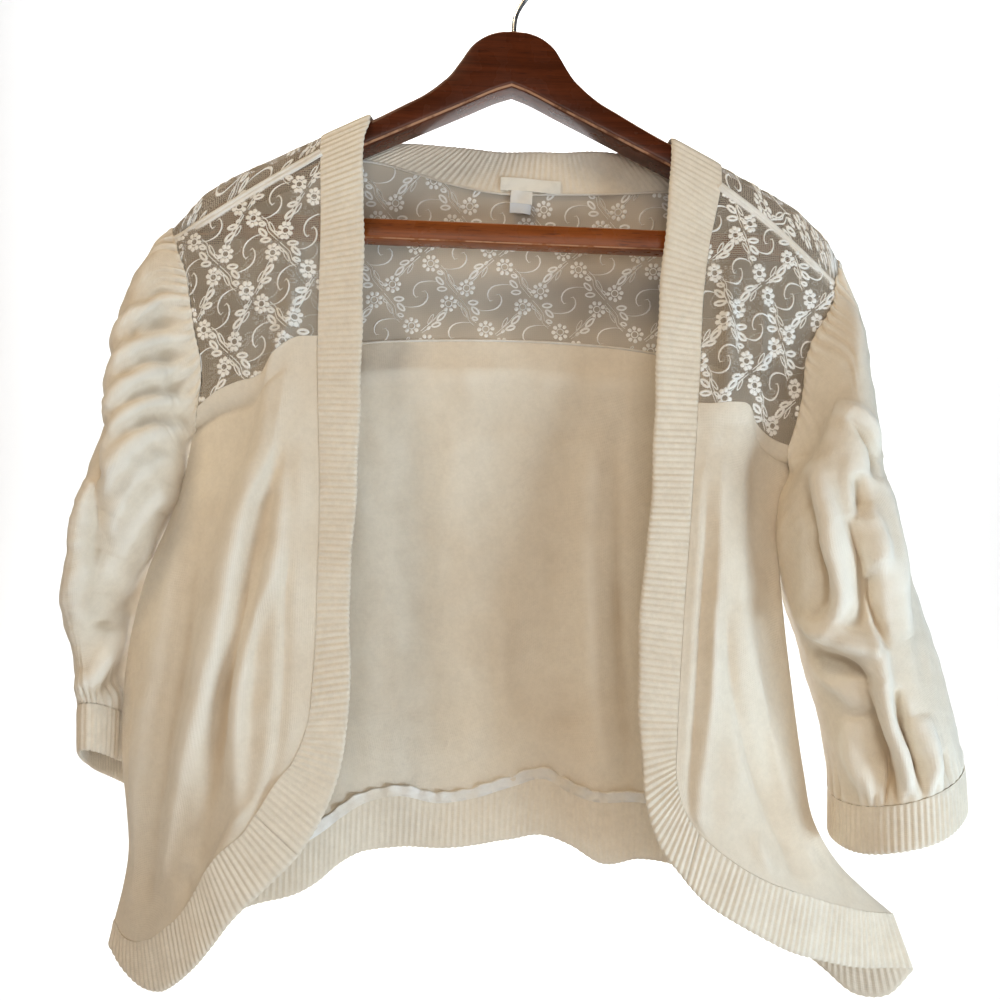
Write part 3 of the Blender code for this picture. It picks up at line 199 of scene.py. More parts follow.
# Folds on a panel: place across at the top and at the foot (0 to 1 from the opening to the side),
# where along the panel it starts and ends (0 top to 1 foot), half width and height in millimetres.
FOLDS_RIGHT = [
    (0.40, 0.62, -0.30, 1.05, 10, 7), (0.24, 0.30, -0.20, 0.98, 8, -6), (0.10, 0.16, 0.02, 0.95, 8, 7),
    (0.70, 0.80, 0.20, 1.20, 14, 5), (0.52, 0.45, 0.35, 1.00, 9, -3), (0.36, 0.30, 0.45, 1.10, 9, 4),
]
FOLDS_LEFT = [
    (0.10, 0.10, -0.20, 1.00, 7, 4), (0.26, 0.16, -0.10, 0.80, 7, -3), (0.44, 0.40, -0.20, 1.05, 13, 5),
    (0.62, 0.70, 0.05, 1.10, 8, -4), (0.80, 0.84, 0.10, 1.20, 12, 4),
]
FOLDS_BACK = [
    (0.32, 0.30, 0.00, 1.15, 22, 6), (0.45, 0.48, -0.10, 1.10, 20, -5), (0.62, 0.63, -0.10, 1.15, 16, 7),
    (0.74, 0.78, 0.10, 1.20, 20, -5), (0.16, 0.14, 0.10, 1.20, 22, -5),
]
YOKE_FOLDS_RIGHT = [(0.30, 0.36, 0.30, 1.60, 10, 3.5), (0.68, 0.62, 0.10, 1.40, 12, -2.5)]
YOKE_FOLDS_LEFT = [(0.20, 0.32, 0.10, 1.60, 9, 4), (0.46, 0.52, 0.05, 1.50, 9, -3),
                   (0.70, 0.74, 0.20, 1.40, 8, 3)]

# Sleeve sections: outer side x, y, z, inner side x, y, z, half depth, how far the back hangs lower.
SLEEVE_RIGHT = [
    (-231, -1, -221, -202, 3, -348, 22, 0), (-241, 0, -238, -206, 4, -352, 33, 0),
    (-250, 0, -268, -208, 5, -358, 42, 0), (-252.5, -1, -304, -209, 6, -372, 47, 2),
    (-254, -2, -344, -212, 10, -392, 50, 6), (-260, -4, -384, -223, 16, -416, 50, 12),
    (-262, -6, -424, -230, 29, -446, 48, 18), (-264, 0, -468, -234, 36, -482, 47, 20),
    (-262, 8, -502, -231, 41, -514, 46, 22), (-259, 14, -533, -226, 44, -545, 43, 20),
]
CUFF_RIGHT = SLEEVE_RIGHT[-1:] + [(-257, 15, -562, -226, 44, -575, 43, 20)]
SLEEVE_LEFT = [
    (235, -2, -249, 194.5, 1, -358, 35, 0), (241, -3, -279, 191, -1, -370, 44, 0),
    (246.5, -4, -311, 189, -3, -388, 49, 0), (251, -5, -350, 190.5, -5, -410, 51, 0),
    (257, -5, -388, 194, -7, -435, 51, 0), (266, -5, -430, 202, -8, -467, 50, 0),
    (278, -5, -466, 210, -9, -500, 49, 0), (289, -5, -497, 217, -10, -530, 48, -2),
    (297, -5, -529, 220, -11, -557, 47, -4),
]
CUFF_LEFT = SLEEVE_LEFT[-1:] + [(299, -5, -556, 220, -12, -584, 48, -4)]
# Folds on a sleeve: degrees round from the outer side toward the front, at its start and its end,
# where along the sleeve it starts and ends, half width in degrees, height in millimetres.
SLEEVE_FOLDS_RIGHT = [
    (95, 20, 0.05, 0.50, 16, 4), (130, 40, 0.20, 0.70, 16, 4.5), (150, 70, 0.38, 0.92, 18, 4.5),
    (60, 10, 0.00, 0.30, 14, 3), (215, 230, 0.20, 0.95, 22, 4), (290, 280, 0.10, 0.85, 22, 4),
]
SLEEVE_FOLDS_LEFT = [
    (95, 120, 0.02, 0.40, 15, 4.5), (140, 60, 0.30, 0.60, 15, 5), (120, 110, 0.50, 1.00, 18, 5),
    (50, 62, 0.45, 0.95, 13, -4), (28, 30, 0.40, 1.00, 11, 4), (230, 235, 0.15, 0.95, 22, 4),
    (300, 285, 0.10, 0.90, 22, 4),
]
INSIDE_RIBS = 3  # ribs to one step of a band's plain inside
OVER_ARM_RIBS = 11  # ribs of a front band over the hanger's arm, each with its own inside step
BACK_COLUMNS = (0, 0.07, 0.13, 0.175, 0.2, 0.22, 0.24, 0.262, 0.3, 0.35, 0.405, 0.46, 0.51, 0.56,
                0.61, 0.67, 0.74, 0.81, 0.875, 0.935, 1)
CAP_SHARES = (0.0, 0.08, 0.2, 0.36, 0.64, 1.0)  # columns of the back yoke over an arm, tip to neck
NET, LABEL = 0.4, 0.45  # walls of the lace's net and of the labels
SIDE_OFFSET = 0.9  # how far front and back stand from the side seam, in depth
SEAM_REACH = 8.0  # how near a band's edge has to be to a seam to be set on it
FRONT_BELLY, YOKE_BELLY, BACK_BELLY = 6, 1.5, 9
FRONT_FOLD_SHARE, BACK_FOLD_SHARE = 0.4, 0.6  # of the tables' fold heights
FRONT_COLUMNS, YOKE_ROWS, PANEL_ROWS, BACK_ROWS, BACK_YOKE_ROWS = 72, 60, 140, 120, 50
CAP_ROWS, CAP_COLUMNS, NECK_COLUMNS = 20, 30, 100
CAD_SLEEVE_COLUMNS, SLEEVE_ROWS, SLEEVE_COLUMNS = 28, 190, 184
RIB_STEPS = 8
RIB_SECTION = [  # share of the width from seam to opening, side: 1 outer face, -1 inner face
    (0, 1), (0.06, 1), (0.2, 1), (0.4, 1), (0.6, 1), (0.8, 1), (0.93, 0.95), (0.985, 0.62), (1.005, 0),
    (0.985, -0.62), (0.93, -0.95), (0.8, -1), (0.6, -1), (0.4, -1), (0.2, -1), (0.06, -1), (0, -1),
]
MOTIF_HIGH = 0.6
LATTICE_WIDE, LATTICE_TALL = 50.7, 55.3  # steps of the lace's lattice where it isn't stretched
LATTICES = {  # a crossing of the first kind, the step across and the step down, by yoke
    "back": ((-31.2, -184.2), (50.7, 0), (0, -55.3)),
    "right": ((-143.2, -223.4), (38.0, 16.0), (10.0, -57.0)),
    "left": ((151.9, -201.1), (34.0, -14.0), (-8.0, -58.0)),
}
PETAL = [(2.5, 0), (3.2, 1.15), (4.7, 1.72), (5.9, 1.3), (6.4, 0), (5.9, -1.3), (4.7, -1.72),
         (3.2, -1.15)]
FLOWERS_FIRST = [(5.9, 5.7), (-5.9, -5.7)]
FLOWERS_SECOND = [(-5.0, 5.2), (6.0, -6.2)]
LEAVES = [  # length, width, turn, place across and up, half width of its rim; each stands twice
    (8.2, 4.8, 0.05, -10.8, 4.2, 0.95), (8.6, 4.8, -0.75, -12.6, 9.8, 0.95),
    (5.6, 3.8, -0.3, -12.6, 15.4, 0.85), (9.6, 4.8, 0.85, 10.4, 15.2, 0.95),
    (8.2, 4.6, 0.35, 13.6, 21.0, 0.95),
    (8.8, 2.9, 1.1, 17.6, 17.2, 0.42), (9.0, 2.7, 2.1, -4.8, 11.2, 0.42), (5.0, 2.8, 2.4, -1.6, 6.0, 0.6),
    (4.0, 2.6, 0.8, 18.6, 23.6, 0.6),
]
STEMS = [  # lines between the leaves, across and up; each stands twice
    [(-0.8, 0.9), (-4.6, 5.0), (-8.6, 10.2), (-9.6, 15.2), (-13.6, 18.4)],
    [(0.5, 2.2), (-3.2, 6.6), (-6.9, 11.0), (-7.9, 16.0), (-12.2, 20.4)],
    [(8.0, 9.6), (11.8, 12.6), (14.6, 16.6), (18.4, 20.6), (23.9, 25.9)],
    [(6.6, 11.2), (8.2, 15.0), (13.2, 18.2), (16.9, 22.2), (22.9, 27.0)],
]
HOOK_PATH = [(13.0, 8.6), (8.7, 9.4), (3.3, 9.1), (-1.7, 7.4), (-4.5, 4.0), (-4.8, 0.2),
             (-3.1, -2.5), (-0.6, -1.7)]
SLEEVE_CREASES = 1.3  # share of the sleeves' crease heights
# Strengths of the painted shade in the knit's hollows and the painted highlight on its ridges, for sleeves
# and for panels.
SLEEVE_PAINTED_SHADING, PANEL_PAINTED_SHADING = 1.0, 0.5  # how strongly hollows colour the knit
SLEEVE_IN = 7.0  # how far a sleeve leans in toward the body, a third of the way down
HOLLOW_STEPS = 36  # softening steps in finding hollows
# The cord's column, counted from the sleeve's outer side to the front, and how hard it draws.
CORDS = {"right": (5, 0.12), "left": (0, 1.0)}
SHOULDER_STRIP = [  # down from the seam, out from the cloth
    (-0.6, 0.3), (-0.4, 1.2), (0.6, 1.75), (1.6, 1.7), (2.3, 1.25), (3.0, 1.7), (4.0, 1.75), (5.0, 1.3),
    (5.3, 0.3), (2.4, 0.0),
]
SERGED = [(-0.5, 0.4), (-0.4, 1.2), (2.5, 1.5), (5.2, 1.5), (6.0, 2.1), (6.9, 2.0), (7.2, 1.2), (6.7, 0.5),
          (5.6, 0.35), (2.5, 0.4)]
SEAM_BEAD = [(0.8, 0), (0.55, 0.5), (0, 0.7), (-0.55, 0.5), (-0.8, 0), (0, -0.5)]

# Painted shade laid into the knit's hollows, and painted highlight laid onto its ridges.
TROUGH_PAINTED_SHADE, RIDGE_PAINTED_HIGHLIGHT = (0.46, 0.34, 0.21, 1), (0.95, 0.90, 0.80, 1)  # knit in hollows, on ridges
MOTTLE_DARK = (0.30, 0.24, 0.17, 1)
# The second is the pale tone of the wood's rounded edges: partly worn varnish, partly painted highlight.
WOOD_PORES, WOOD_WORN_HIGHLIGHT = (0.012, 0.004, 0.003, 1), (0.52, 0.27, 0.15, 1)
STEEL_BRIGHT, STEEL_DULL = (0.72, 0.72, 0.73, 1), (0.50, 0.49, 0.47, 1)
PAPER_LOW, PAPER_HIGH = (0.93, 0.93, 0.93, 1), (0.95, 0.95, 0.95, 1)
SKY = (0.95, 0.97, 1.0, 1)
KNITS = {  # light and warm tone, share of the warm one, stitches to the metre, mottling, relief
    "jersey_knit": ("cloth_light", "cloth_shade", 1, 750.0, 0.07, 0.35),
    "rib_knit": ("cloth_light", "cloth_shade", 1, 900.0, 0.09, 0.25),
    "seam_thread": ("lace_thread", "cloth_shade", 1, 1400.0, 0.06, 0.5),
    "lace_thread": ("lace_thread", "lace_thread", 0.9, 1600.0, 0.05, 0.4),
}
# Net: name, how solid a cell's middle is behind the arms, share of a cell that is thread, tone.
# At the back the cells are filled nearly solid with net tone: painted shade for the dark seen through the
# open net.
FRONT_NET = ("lace_net", 0.16, 0.04, 1.25)
BACK_NET = ("lace_net_back", 0.92, 0.05, 1.35)
NET_OVER_ARMS = 0.10  # how solid a cell's middle is in front and over the arms
NET_DEPTHS = (0.008, 0.016)  # where it changes, in metres behind the hook

FLOOR_Z, FLOOR_FRONT, WALL_Y, WALL_TOP, COVE = -950, -4000, 1700, 3000, 800  # backdrop's outline
CAMERA_AT = (0.0037, -0.65, -0.4255)
CAMERA_PITCH, CAMERA_ROLL, CAMERA_LENS = 4.0, 2.4, 36.2
WORLD_LIGHT, WORLD_SEEN = 0.06, 0.92  # world's strength as a light, and as the camera sees it
LIGHTS = [  # name, place, aim, size in metres, watts, colour
    ("key", (-0.62, -0.75, 0.75), (0.0, 0, -0.42), 0.35, 7.4, (1.0, 0.79, 0.53)),
    ("low", (1.1, -0.7, -0.85), (0.08, 0, -0.45), 0.5, 15.0, (0.66, 0.84, 1.0)),
    ("front", (0.1, -1.6, -0.2), (0, 0, -0.4), 0.9, 7.0, (1.0, 0.92, 0.85)),
    ("backdrop_light", (0, 0.75, 1.1), (0, 2.2, 0.9), 1.6, 42, (1.0, 1.0, 1.0)),
    ("floor_light", (0, 0.9, -0.1), (0, 1.7, -0.9), 1.2, 12, (1.0, 1.0, 1.0)),
]

# Creases, listed one by one: x and z along the line, then half widths in millimetres on the line's right
# and left when followed, and the height, which is negative in a trough.
CREASES_RIGHT = [
    ([(-134, -290), (-138, -353), (-151, -387), (-158, -439), (-161, -464), (-167, -495), (-172, -520),
      (-178, -550), (-185, -585), (-192, -632)], 13, 6, 5.5),
    ([(-140, -380), (-148, -439), (-150, -470), (-157, -502), (-160, -535), (-163, -565), (-167, -600),
      (-170, -632)], 6, 7, -4.5),
    ([(-128, -370), (-131, -438), (-142, -463), (-147, -504), (-146, -545), (-141, -583)], 8, 5, 4.0),
    ([(-125, -345), (-124, -431), (-121, -501), (-124, -550), (-134, -585)], 4, 4, -2.2),
    ([(-196, -370), (-203, -478), (-212, -544), (-217, -612), (-214, -660)], 12, 9, 3.6),
    ([(-183, -390), (-187, -477), (-193, -542), (-199, -608), (-205, -655)], 8, 8, -3.0),
    ([(-176, -610), (-172, -640), (-176, -668), (-178, -690)], 6, 4, -4.0),
    ([(-222, -500), (-224, -560), (-221, -620), (-222, -650)], 5, 5, -2.0),
]
CREASES_LEFT = [
    ([(131, -360), (130, -410), (127, -470), (124, -525), (121, -570)], 3, 4, -2.6),
    ([(140, -345), (139, -400), (137, -451), (134, -510), (129, -552), (127, -590)], 5, 6, 3.4),
    ([(141, -440), (146, -475), (156, -512), (171, -552), (184, -583), (197, -611)], 6, 4, -3.6),
    ([(152, -440), (160, -476), (174, -514), (187, -553), (201, -588), (214, -618)], 6, 10, 4.2),
    ([(163, -575), (172, -598), (180, -618)], 4, 4, 1.8),
    ([(172, -400), (174, -475), (183, -530), (198, -575), (218, -610)], 8, 9, -2.4),
    ([(186, -420), (190, -480), (200, -540), (216, -590), (240, -622)], 7, 7, 2.6),
]
CREASES_YOKE_RIGHT = [
    ([(-133, -215), (-132, -250), (-134, -280), (-137, -310)], 6, 4, 2.6),
    ([(-141, -240), (-143, -275), (-149, -312)], 5, 5, -2.2),
    ([(-168, -235), (-166, -275), (-160, -318)], 8, 8, 1.6),
]
CREASES_YOKE_LEFT = [
    ([(143, -225), (142, -270), (141, -318)], 3.5, 5, 2.6),
    ([(149, -230), (150, -270), (151, -316)], 4, 4, -1.8),
    ([(164, -235), (163, -275), (164, -325)], 4, 6, 2.8),
    ([(171, -240), (172, -280), (172, -330)], 5, 5, -1.8),
]
CREASES_BACK = [
    ([(-90, -300), (-89, -398), (-85, -470), (-82, -540), (-79, -580)], 20, 16, -3.0),
    ([(-52, -310), (-52, -397), (-44, -497), (-36, -570)], 14, 16, 2.4),
    ([(-17, -330), (-14, -400), (-9, -467), (-2, -552)], 14, 14, -2.0),
    ([(5, -440), (10, -495), (18, -537), (33, -575)], 5, 9, -2.2),
    ([(66, -330), (66, -392), (71, -478), (80, -560)], 7, 6, -3.0),
    ([(80, -320), (82, -378), (87, -463), (95, -548), (98, -575)], 6, 7, 3.6),
    ([(-112, -330), (-116, -420), (-112, -520), (-104, -585)], 12, 12, 2.8),
    ([(118, -330), (124, -420), (130, -520), (134, -575)], 12, 12, -3.2),
    ([(160, -330), (158, -430), (166, -520), (180, -590)], 14, 14, 3.0),
    ([(-160, -330), (-165, -430), (-170, -520), (-168, -610)], 14, 14, -2.6),
]
CREASES_SLEEVE_RIGHT = [
    ([(-262, -290), (-250, -315), (-243, -345), (-240, -385), (-240, -430), (-241, -465)], 7, 4, -3.2),
    ([(-205, -262), (-217, -266), (-232, -280), (-243, -305)], 4, 6, 3.0),
    ([(-200, -283), (-214, -289), (-230, -303), (-242, -328)], 4, 6, 3.4),
    ([(-198, -303), (-214, -310), (-229, -325), (-240, -352)], 4, 6, 3.4),
    ([(-197, -322), (-213, -330), (-228, -347), (-239, -375)], 4, 6, 3.6),
    ([(-198, -341), (-213, -350), (-228, -369), (-238, -398)], 4, 7, 3.8),
    ([(-203, -360), (-215, -371), (-228, -391), (-239, -424)], 4, 7, 4.0),
    ([(-206, -380), (-217, -392), (-230, -416), (-240, -450)], 4, 7, 4.4),
    ([(-212, -398), (-222, -414), (-232, -438), (-241, -468)], 4, 8, 5.0),
    ([(-216, -416), (-226, -436), (-233, -452), (-242, -474)], 4, 3, -4.5),
    ([(-224, -446), (-233, -464), (-241, -490), (-253, -518)], 5, 9, 5.5),
    ([(-228, -470), (-235, -495), (-241, -515), (-249, -535)], 5, 4, -4.5),
    ([(-246, -380), (-250, -420), (-255, -450), (-262, -480)], 8, 8, 3.0),
    ([(-268, -470), (-264, -500), (-259, -519), (-252, -535)], 5, 4, -2.8),
    ([(-234, -510), (-243, -535), (-247, -552)], 6, 6, 3.2),
]
CREASES_SLEEVE_LEFT = [
    ([(212, -324), (222, -336), (229, -348), (228, -360)], 3, 4, -3.2),
    ([(206, -318), (216, -322), (226, -332), (230, -346)], 5, 6, 3.4),
    ([(216, -358), (218, -372), (216, -386)], 5, 5, -4.0),
    ([(193, -345), (196, -365), (199, -380), (203, -400), (208, -420), (210, -436), (206, -450),
      (198, -460)], 6, 5, 6.0),
    ([(191, -355), (193, -378), (196, -400), (201, -422), (202, -440)], 3.5, 3, -3.6),
    ([(209, -385), (214, -400), (218, -418), (219, -436), (215, -452)], 6, 6, -6.0),
    ([(222, -376), (226, -394), (227, -408), (224, -422)], 6, 5, 3.8),
    ([(226, -410), (226, -428), (229, -447), (233, -462)], 3, 3, -4.4),
    ([(236, -360), (238, -385), (240, -410), (244, -435), (249, -455)], 8, 7, 4.2),
    ([(186, -449), (197, -450), (208, -455), (220, -461), (229, -463)], 5, 5, 5.0),
    ([(196, -467), (206, -470), (215, -475), (223, -480), (230, -483)], 4, 5, -5.0),
    ([(190, -470), (202, -480), (214, -488), (224, -500)], 5, 4, 3.4),
    ([(221, -505), (223, -525), (230, -545), (236, -562)], 5, 4, 4.0),
    ([(224, -482), (228, -508), (236, -532), (242, -555), (250, -575)], 7, 6, -8.5),
    ([(228, -448), (231, -480), (236, -505), (245, -530), (252, -555)], 6, 5, 5.5),
    ([(239, -484), (244, -505), (252, -524), (257, -552)], 3.5, 3.5, -5.0),
    ([(254, -500), (260, -522), (264, -545), (268, -565)], 5, 6, 4.5),
    ([(268, -520), (273, -540), (276, -560)], 4, 4, -3.0),
    ([(198, -510), (205, -530), (212, -552)], 8, 8, 2.4),
    ([(236, -566), (226, -578), (214, -586)], 3, 4, -3.4),
]


def smooth(rows, count):
    """A smooth line through the rows, with a count of points evenly along the first three columns."""
    rows = np.array(rows, float)
    step = np.linalg.norm(np.diff(rows[:, :3], axis=0), axis=1)
    if rows.shape[1] > 5:
        step = step + np.linalg.norm(np.diff(rows[:, 3:6], axis=0), axis=1)
    at = np.concatenate([[0], np.cumsum(step)])
    return even(hermite(rows, at, np.linspace(0, at[-1], 40 * len(rows))), count)


def distances(line):
    """How far along a line each of its points lies."""
    return np.concatenate([[0], np.cumsum(np.linalg.norm(np.diff(line, axis=0), axis=1))])


def mean_distances(grid, axis=0):
    """How far along one axis of a grid its rows lie, by their mean spacing."""
    step = np.linalg.norm(np.diff(grid, axis=axis), axis=2).mean(axis=1 - axis)
    return np.concatenate([[0], np.cumsum(step)])


def even(line, places):
    """The line again, at a count of even places or at given shares of its length."""
    places = np.linspace(0, 1, places) if np.isscalar(places) else np.array(places)
    along = distances(line[:, :6])
    wanted = places * along[-1]
    return np.stack([np.interp(wanted, along, line[:, k]) for k in range(line.shape[1])], axis=1)


def edge(*pieces):
    """A dense line through several tables, end to end."""
    lines = [smooth(piece, 300) for piece in pieces]
    return np.concatenate([lines[0]] + [line[1:] for line in lines[1:]])


def spanned(top, foot, near, far, u, v):
    """The surface between four edges: the blend of each pair, less the blend of the corners."""
    corners = ((1 - u) * (1 - v) * top[0] + u * (1 - v) * top[-1]
               + (1 - u) * v * foot[0] + u * v * foot[-1])
    return (1 - v) * top[None] + v * foot[None] + (1 - u) * near[:, None] + u * far[:, None] - corners


def patch(top, foot, near, far, across, down):
    """A four-sided surface blended from its edges, as a grid of rows from top to foot.

    across lists the columns' shares of the width, and down counts the steps to the foot.
    """
    top, foot = even(top, across), even(foot, across)
    near, far = even(near, down + 1), even(far, down + 1)
    return spanned(top, foot, near, far, np.array(across)[None, :, None],
                   np.linspace(0, 1, down + 1)[:, None, None])


def spread(*parts):
    """Coordinates spread over one grid and put together at each of its points."""
    return np.stack(np.broadcast_arrays(*parts), axis=2)


def unit(rows):
    """Directions of length one."""
    return rows / np.linalg.norm(rows, axis=-1, keepdims=True)


def heading(rows, ring=False, axis=0):
    """The way along a line or one axis of a grid at each point, from its two neighbours."""
    if ring:
        return np.roll(rows, -1, axis=axis) - np.roll(rows, 1, axis=axis)
    return np.gradient(rows, axis=axis)


def across_edge(line, inward, facing, ring=False):
    """The direction at each point of an edge that lies in the surface and squarely across it."""
    way = unit(np.cross(facing, heading(line, ring)))
    return way * np.sign((way * (inward - line)).sum(1, keepdims=True))


def ease(grid, normals):
    """Draws a grid's edges back by half a seam gap."""
    moved = grid.copy()
    for line, inner in ((0, 1), (-1, -2)):
        moved[line] += across_edge(grid[line], grid[inner], normals[line]) * SEAM_GAP / 2
        moved[:, line] += (across_edge(grid[:, line], grid[:, inner], normals[:, line])
                           * SEAM_GAP / 2)
    return moved


def fold(grid, across, folds, part, belly, side):
    """Moves a grid's inner points out by part of its folds' heights and by a soft belly.

    side is -1 in front and 1 at the back.
    """
    v = np.linspace(0, 1, len(grid))[:, None]
    u = np.array(across)[None, :]
    width = np.linalg.norm(grid[:, -1] - grid[:, 0], axis=1)[:, None]
    lift = belly * np.sin(math.pi * u) * np.sin(math.pi * v)
    held = np.clip(6 * u, 0, 1) * np.clip(6 * (1 - u), 0, 1)
    for top_place, foot_place, start, end, half_width, height in folds:
        place = top_place + (foot_place - top_place) * v
        run = np.clip((v - start) / max(end - start, 0.01), 0, 1)
        lift = lift + (height * part * np.exp(-(((u - place) * width / half_width) ** 2))
                       * np.sin(math.pi * run) ** 0.7 * held)
    ends = np.clip(5 * v, 0, 1) * np.clip(5 * (1 - v), 0, 1)
    grid[:, :, 1] += side * lift * (0.25 + 0.75 * ends)
    grid[0, :, 1] -= side * (lift * 0.25)[0]
    grid[-1, :, 1] -= side * (lift * 0.25)[-1]
    return grid


def outward(grid, sign, ring=False):
    """Unit normals of a grid of points."""
    return unit(np.cross(heading(grid, ring, 1), np.gradient(grid, axis=0)) * sign)


def nearest(points, line, facing, reach):
    """Moves points onto a seam where they are within reach of it, with the seam's normals there."""
    start, step = line[:-1], np.diff(line, axis=0)
    size = np.maximum((step**2).sum(1), 1e-12)
    share = np.clip(((points[:, None] - start[None]) * step[None]).sum(2) / size, 0, 1)
    spot = start[None] + share[:, :, None] * step[None]
    away = np.linalg.norm(spot - points[:, None], axis=2)
    best = away.argmin(axis=1)
    row = np.arange(len(points))
    near = away[row, best] < reach
    moved = points.copy()
    moved[near] = spot[row, best][near]
    part = share[row, best][:, None]
    return moved, near, unit(facing[best] * (1 - part) + facing[best + 1] * part)


def agree(one, other):
    """Gives two rows of normals along a shared seam their middle direction."""
    one[:] = unit(one + other)
    other[:] = one


def ring_points(row, count):
    """One sleeve section as a ring of points, from the outer side round by the front."""
    outer, inner, half_depth, hang = np.array(row[:3]), np.array(row[3:6]), row[6], row[7]
    turn = np.arange(count) * 2 * math.pi / count
    depth = np.array([0, half_depth, -hang])
    middle = (outer + inner) / 2
    return (middle + (outer - middle) * np.cos(turn)[:, None] - depth * np.sin(turn)[:, None])


def armhole_ring(front, back, shift, count):
    """The armhole as a ring of points from the shoulder's tip round by the front, set off sideways.

    The shift is 0.4 at the tip and 0.6 at the underarm, in millimetres away from the body.
    """
    ring = np.concatenate([even(front, count // 2 + 1)[:-1], even(back, count // 2 + 1)[:-1]])
    low = (1 - np.cos(np.arange(count) * 2 * math.pi / count)) / 2
    ring[:, 0] += shift * (0.4 + 0.2 * low**2)
    return ring


def over_arm(seam_x, opening_x, table):
    """A front band's rows with the part that lies over the hanger's arm put before them.

    Its rows run from a little below the arm's top behind, over the arm, to the front.
    """
    rows = []
    for depth, rise in OVER_ARM[::-1]:
        row = []
        for x in (seam_x, opening_x):
            row += [x, depth * 1.02, arm_top(x) + rise + 0.5]
        rows.append(row)
    first = [seam_x * 0.985, 14.3, arm_top(seam_x) - 5.5, opening_x * 0.985, 14.8,
             arm_top(opening_x) - 5.5]
    return [first] + rows + [list(row) for row in table]


def arm_top(x):
    """The height of the hanger's top edge at a place across."""
    return float(np.interp(abs(x), [p[0] for p in HANGER_TOP], [p[1] for p in HANGER_TOP]))


def band_edge(*tables):
    """The seam edge of the bands as one dense line."""
    return edge(*[[row[:3] for row in table] for table in tables])


def cut_at(line, height):
    """The parts of a line above and below the place where it first reaches a height."""
    i = int(np.argmax(line[:, 2] < height))
    return line[:i + 1], line[i:]


def hermite(values, at, wanted):
    """Cubic through rows of values at given places, with each slope taken from the neighbours."""
    slope = np.gradient(values, at, axis=0)
    i = np.clip(np.searchsorted(at, wanted, side="right") - 1, 0, len(at) - 2)
    h = (at[i + 1] - at[i])[:, None]
    t = (wanted - at[i])[:, None] / h
    return ((2 * t**3 - 3 * t**2 + 1) * values[i] + (t**3 - 2 * t**2 + t) * h * slope[i]
            + (3 * t**2 - 2 * t**3) * values[i + 1] + (t**3 - t**2) * h * slope[i + 1])


def finer(grid, count, axis):
    """The grid again with a count of points along one axis, on cubics evenly by mean length."""
    grid = np.swapaxes(grid, 0, axis)
    at = mean_distances(grid)
    flat = grid.reshape(len(grid), -1)
    made = hermite(flat, at, np.linspace(0, at[-1], count)).reshape(count, *grid.shape[1:])
    return np.swapaxes(made, 0, axis)


def quads_of(rows, columns, ring_rows=False, ring_columns=False):
    """Corners of the quads of a grid: (i, j), (i, j+1), (i+1, j+1), (i+1, j), closed round on request."""
    i, j = np.meshgrid(np.arange(rows if ring_rows else rows - 1),
                       np.arange(columns if ring_columns else columns - 1), indexing="ij")
    below, after = (i + 1) % rows, (j + 1) % columns
    return np.stack([i * columns + j, i * columns + after, below * columns + after,
                     below * columns + j], axis=-1).reshape(-1, 4)


def lengths(grid, ring=False):
    """Each point's place in the flat cloth, from mean lengths across and down, and the width round."""
    u, v = mean_distances(grid, 1), mean_distances(grid)
    width = u[-1] + np.linalg.norm(grid[:, 0] - grid[:, -1], axis=1).mean()
    return spread(u[None], v[:, None]), (width if ring else 0)


def ripple(points, length, seed):
    """Soft uneven waves between -1 and 1: a sum of plane waves with seeded directions and phases."""
    chance = np.random.default_rng(seed)
    total = 0
    for _ in range(7):
        way = unit(chance.normal(size=3)) * 2 * math.pi / (length * chance.uniform(0.7, 1.5))
        total = total + np.sin(points @ way + chance.uniform(0, 2 * math.pi))
    return total / 3.5


def put(name, points, faces, finish, uv=None, wrap=0, crisp=60, marks=None):
    """One piece from millimetre points and arrays of faces.

    The faces are turned round where the signed volume, a sixth of the sum of a . (b x c), is
    negative. uv gives each point's place in the cloth, and wrap the width at which it starts again.
    """
    points = np.asarray(points, float).reshape(-1, 3)
    centred = points - points.mean(axis=0)
    volume = 0
    for group in faces:
        for k in range(1, group.shape[1] - 1):
            a, b, c = centred[group[:, 0]], centred[group[:, k]], centred[group[:, k + 1]]
            volume += (a * np.cross(b, c)).sum()
    if volume < 0:
        faces = [group[:, ::-1] for group in faces]
    mesh = bpy.data.meshes.new(name)
    mesh.from_pydata((points * MM).tolist(), [], [f for group in faces for f in group.tolist()])
    if uv is not None:
        spots = []
        for group in faces:
            place = uv.reshape(-1, 2)[group % (uv.size // 2)].copy()
            if wrap:
                far = place[..., 0].max(axis=1, keepdims=True) - wrap / 2
                place[..., 0] += wrap * (place[..., 0] < far)
            spots.append(place.reshape(-1, 2))
        mesh.uv_layers.new(name="cloth").data.foreach_set("uv", (np.concatenate(spots) * MM).ravel())
    for title, values in (marks or {}).items():
        mesh.attributes.new(title, "FLOAT", "POINT").data.foreach_set("value", values.ravel())
    mesh.polygons.foreach_set("use_smooth", np.ones(len(mesh.polygons), bool))
    mesh.set_sharp_from_angle(angle=math.radians(crisp))
    mesh.materials.append(finish)
    made = bpy.data.objects.new(name, mesh)
    bpy.context.scene.collection.objects.link(made)
    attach(made, "root")
    return made


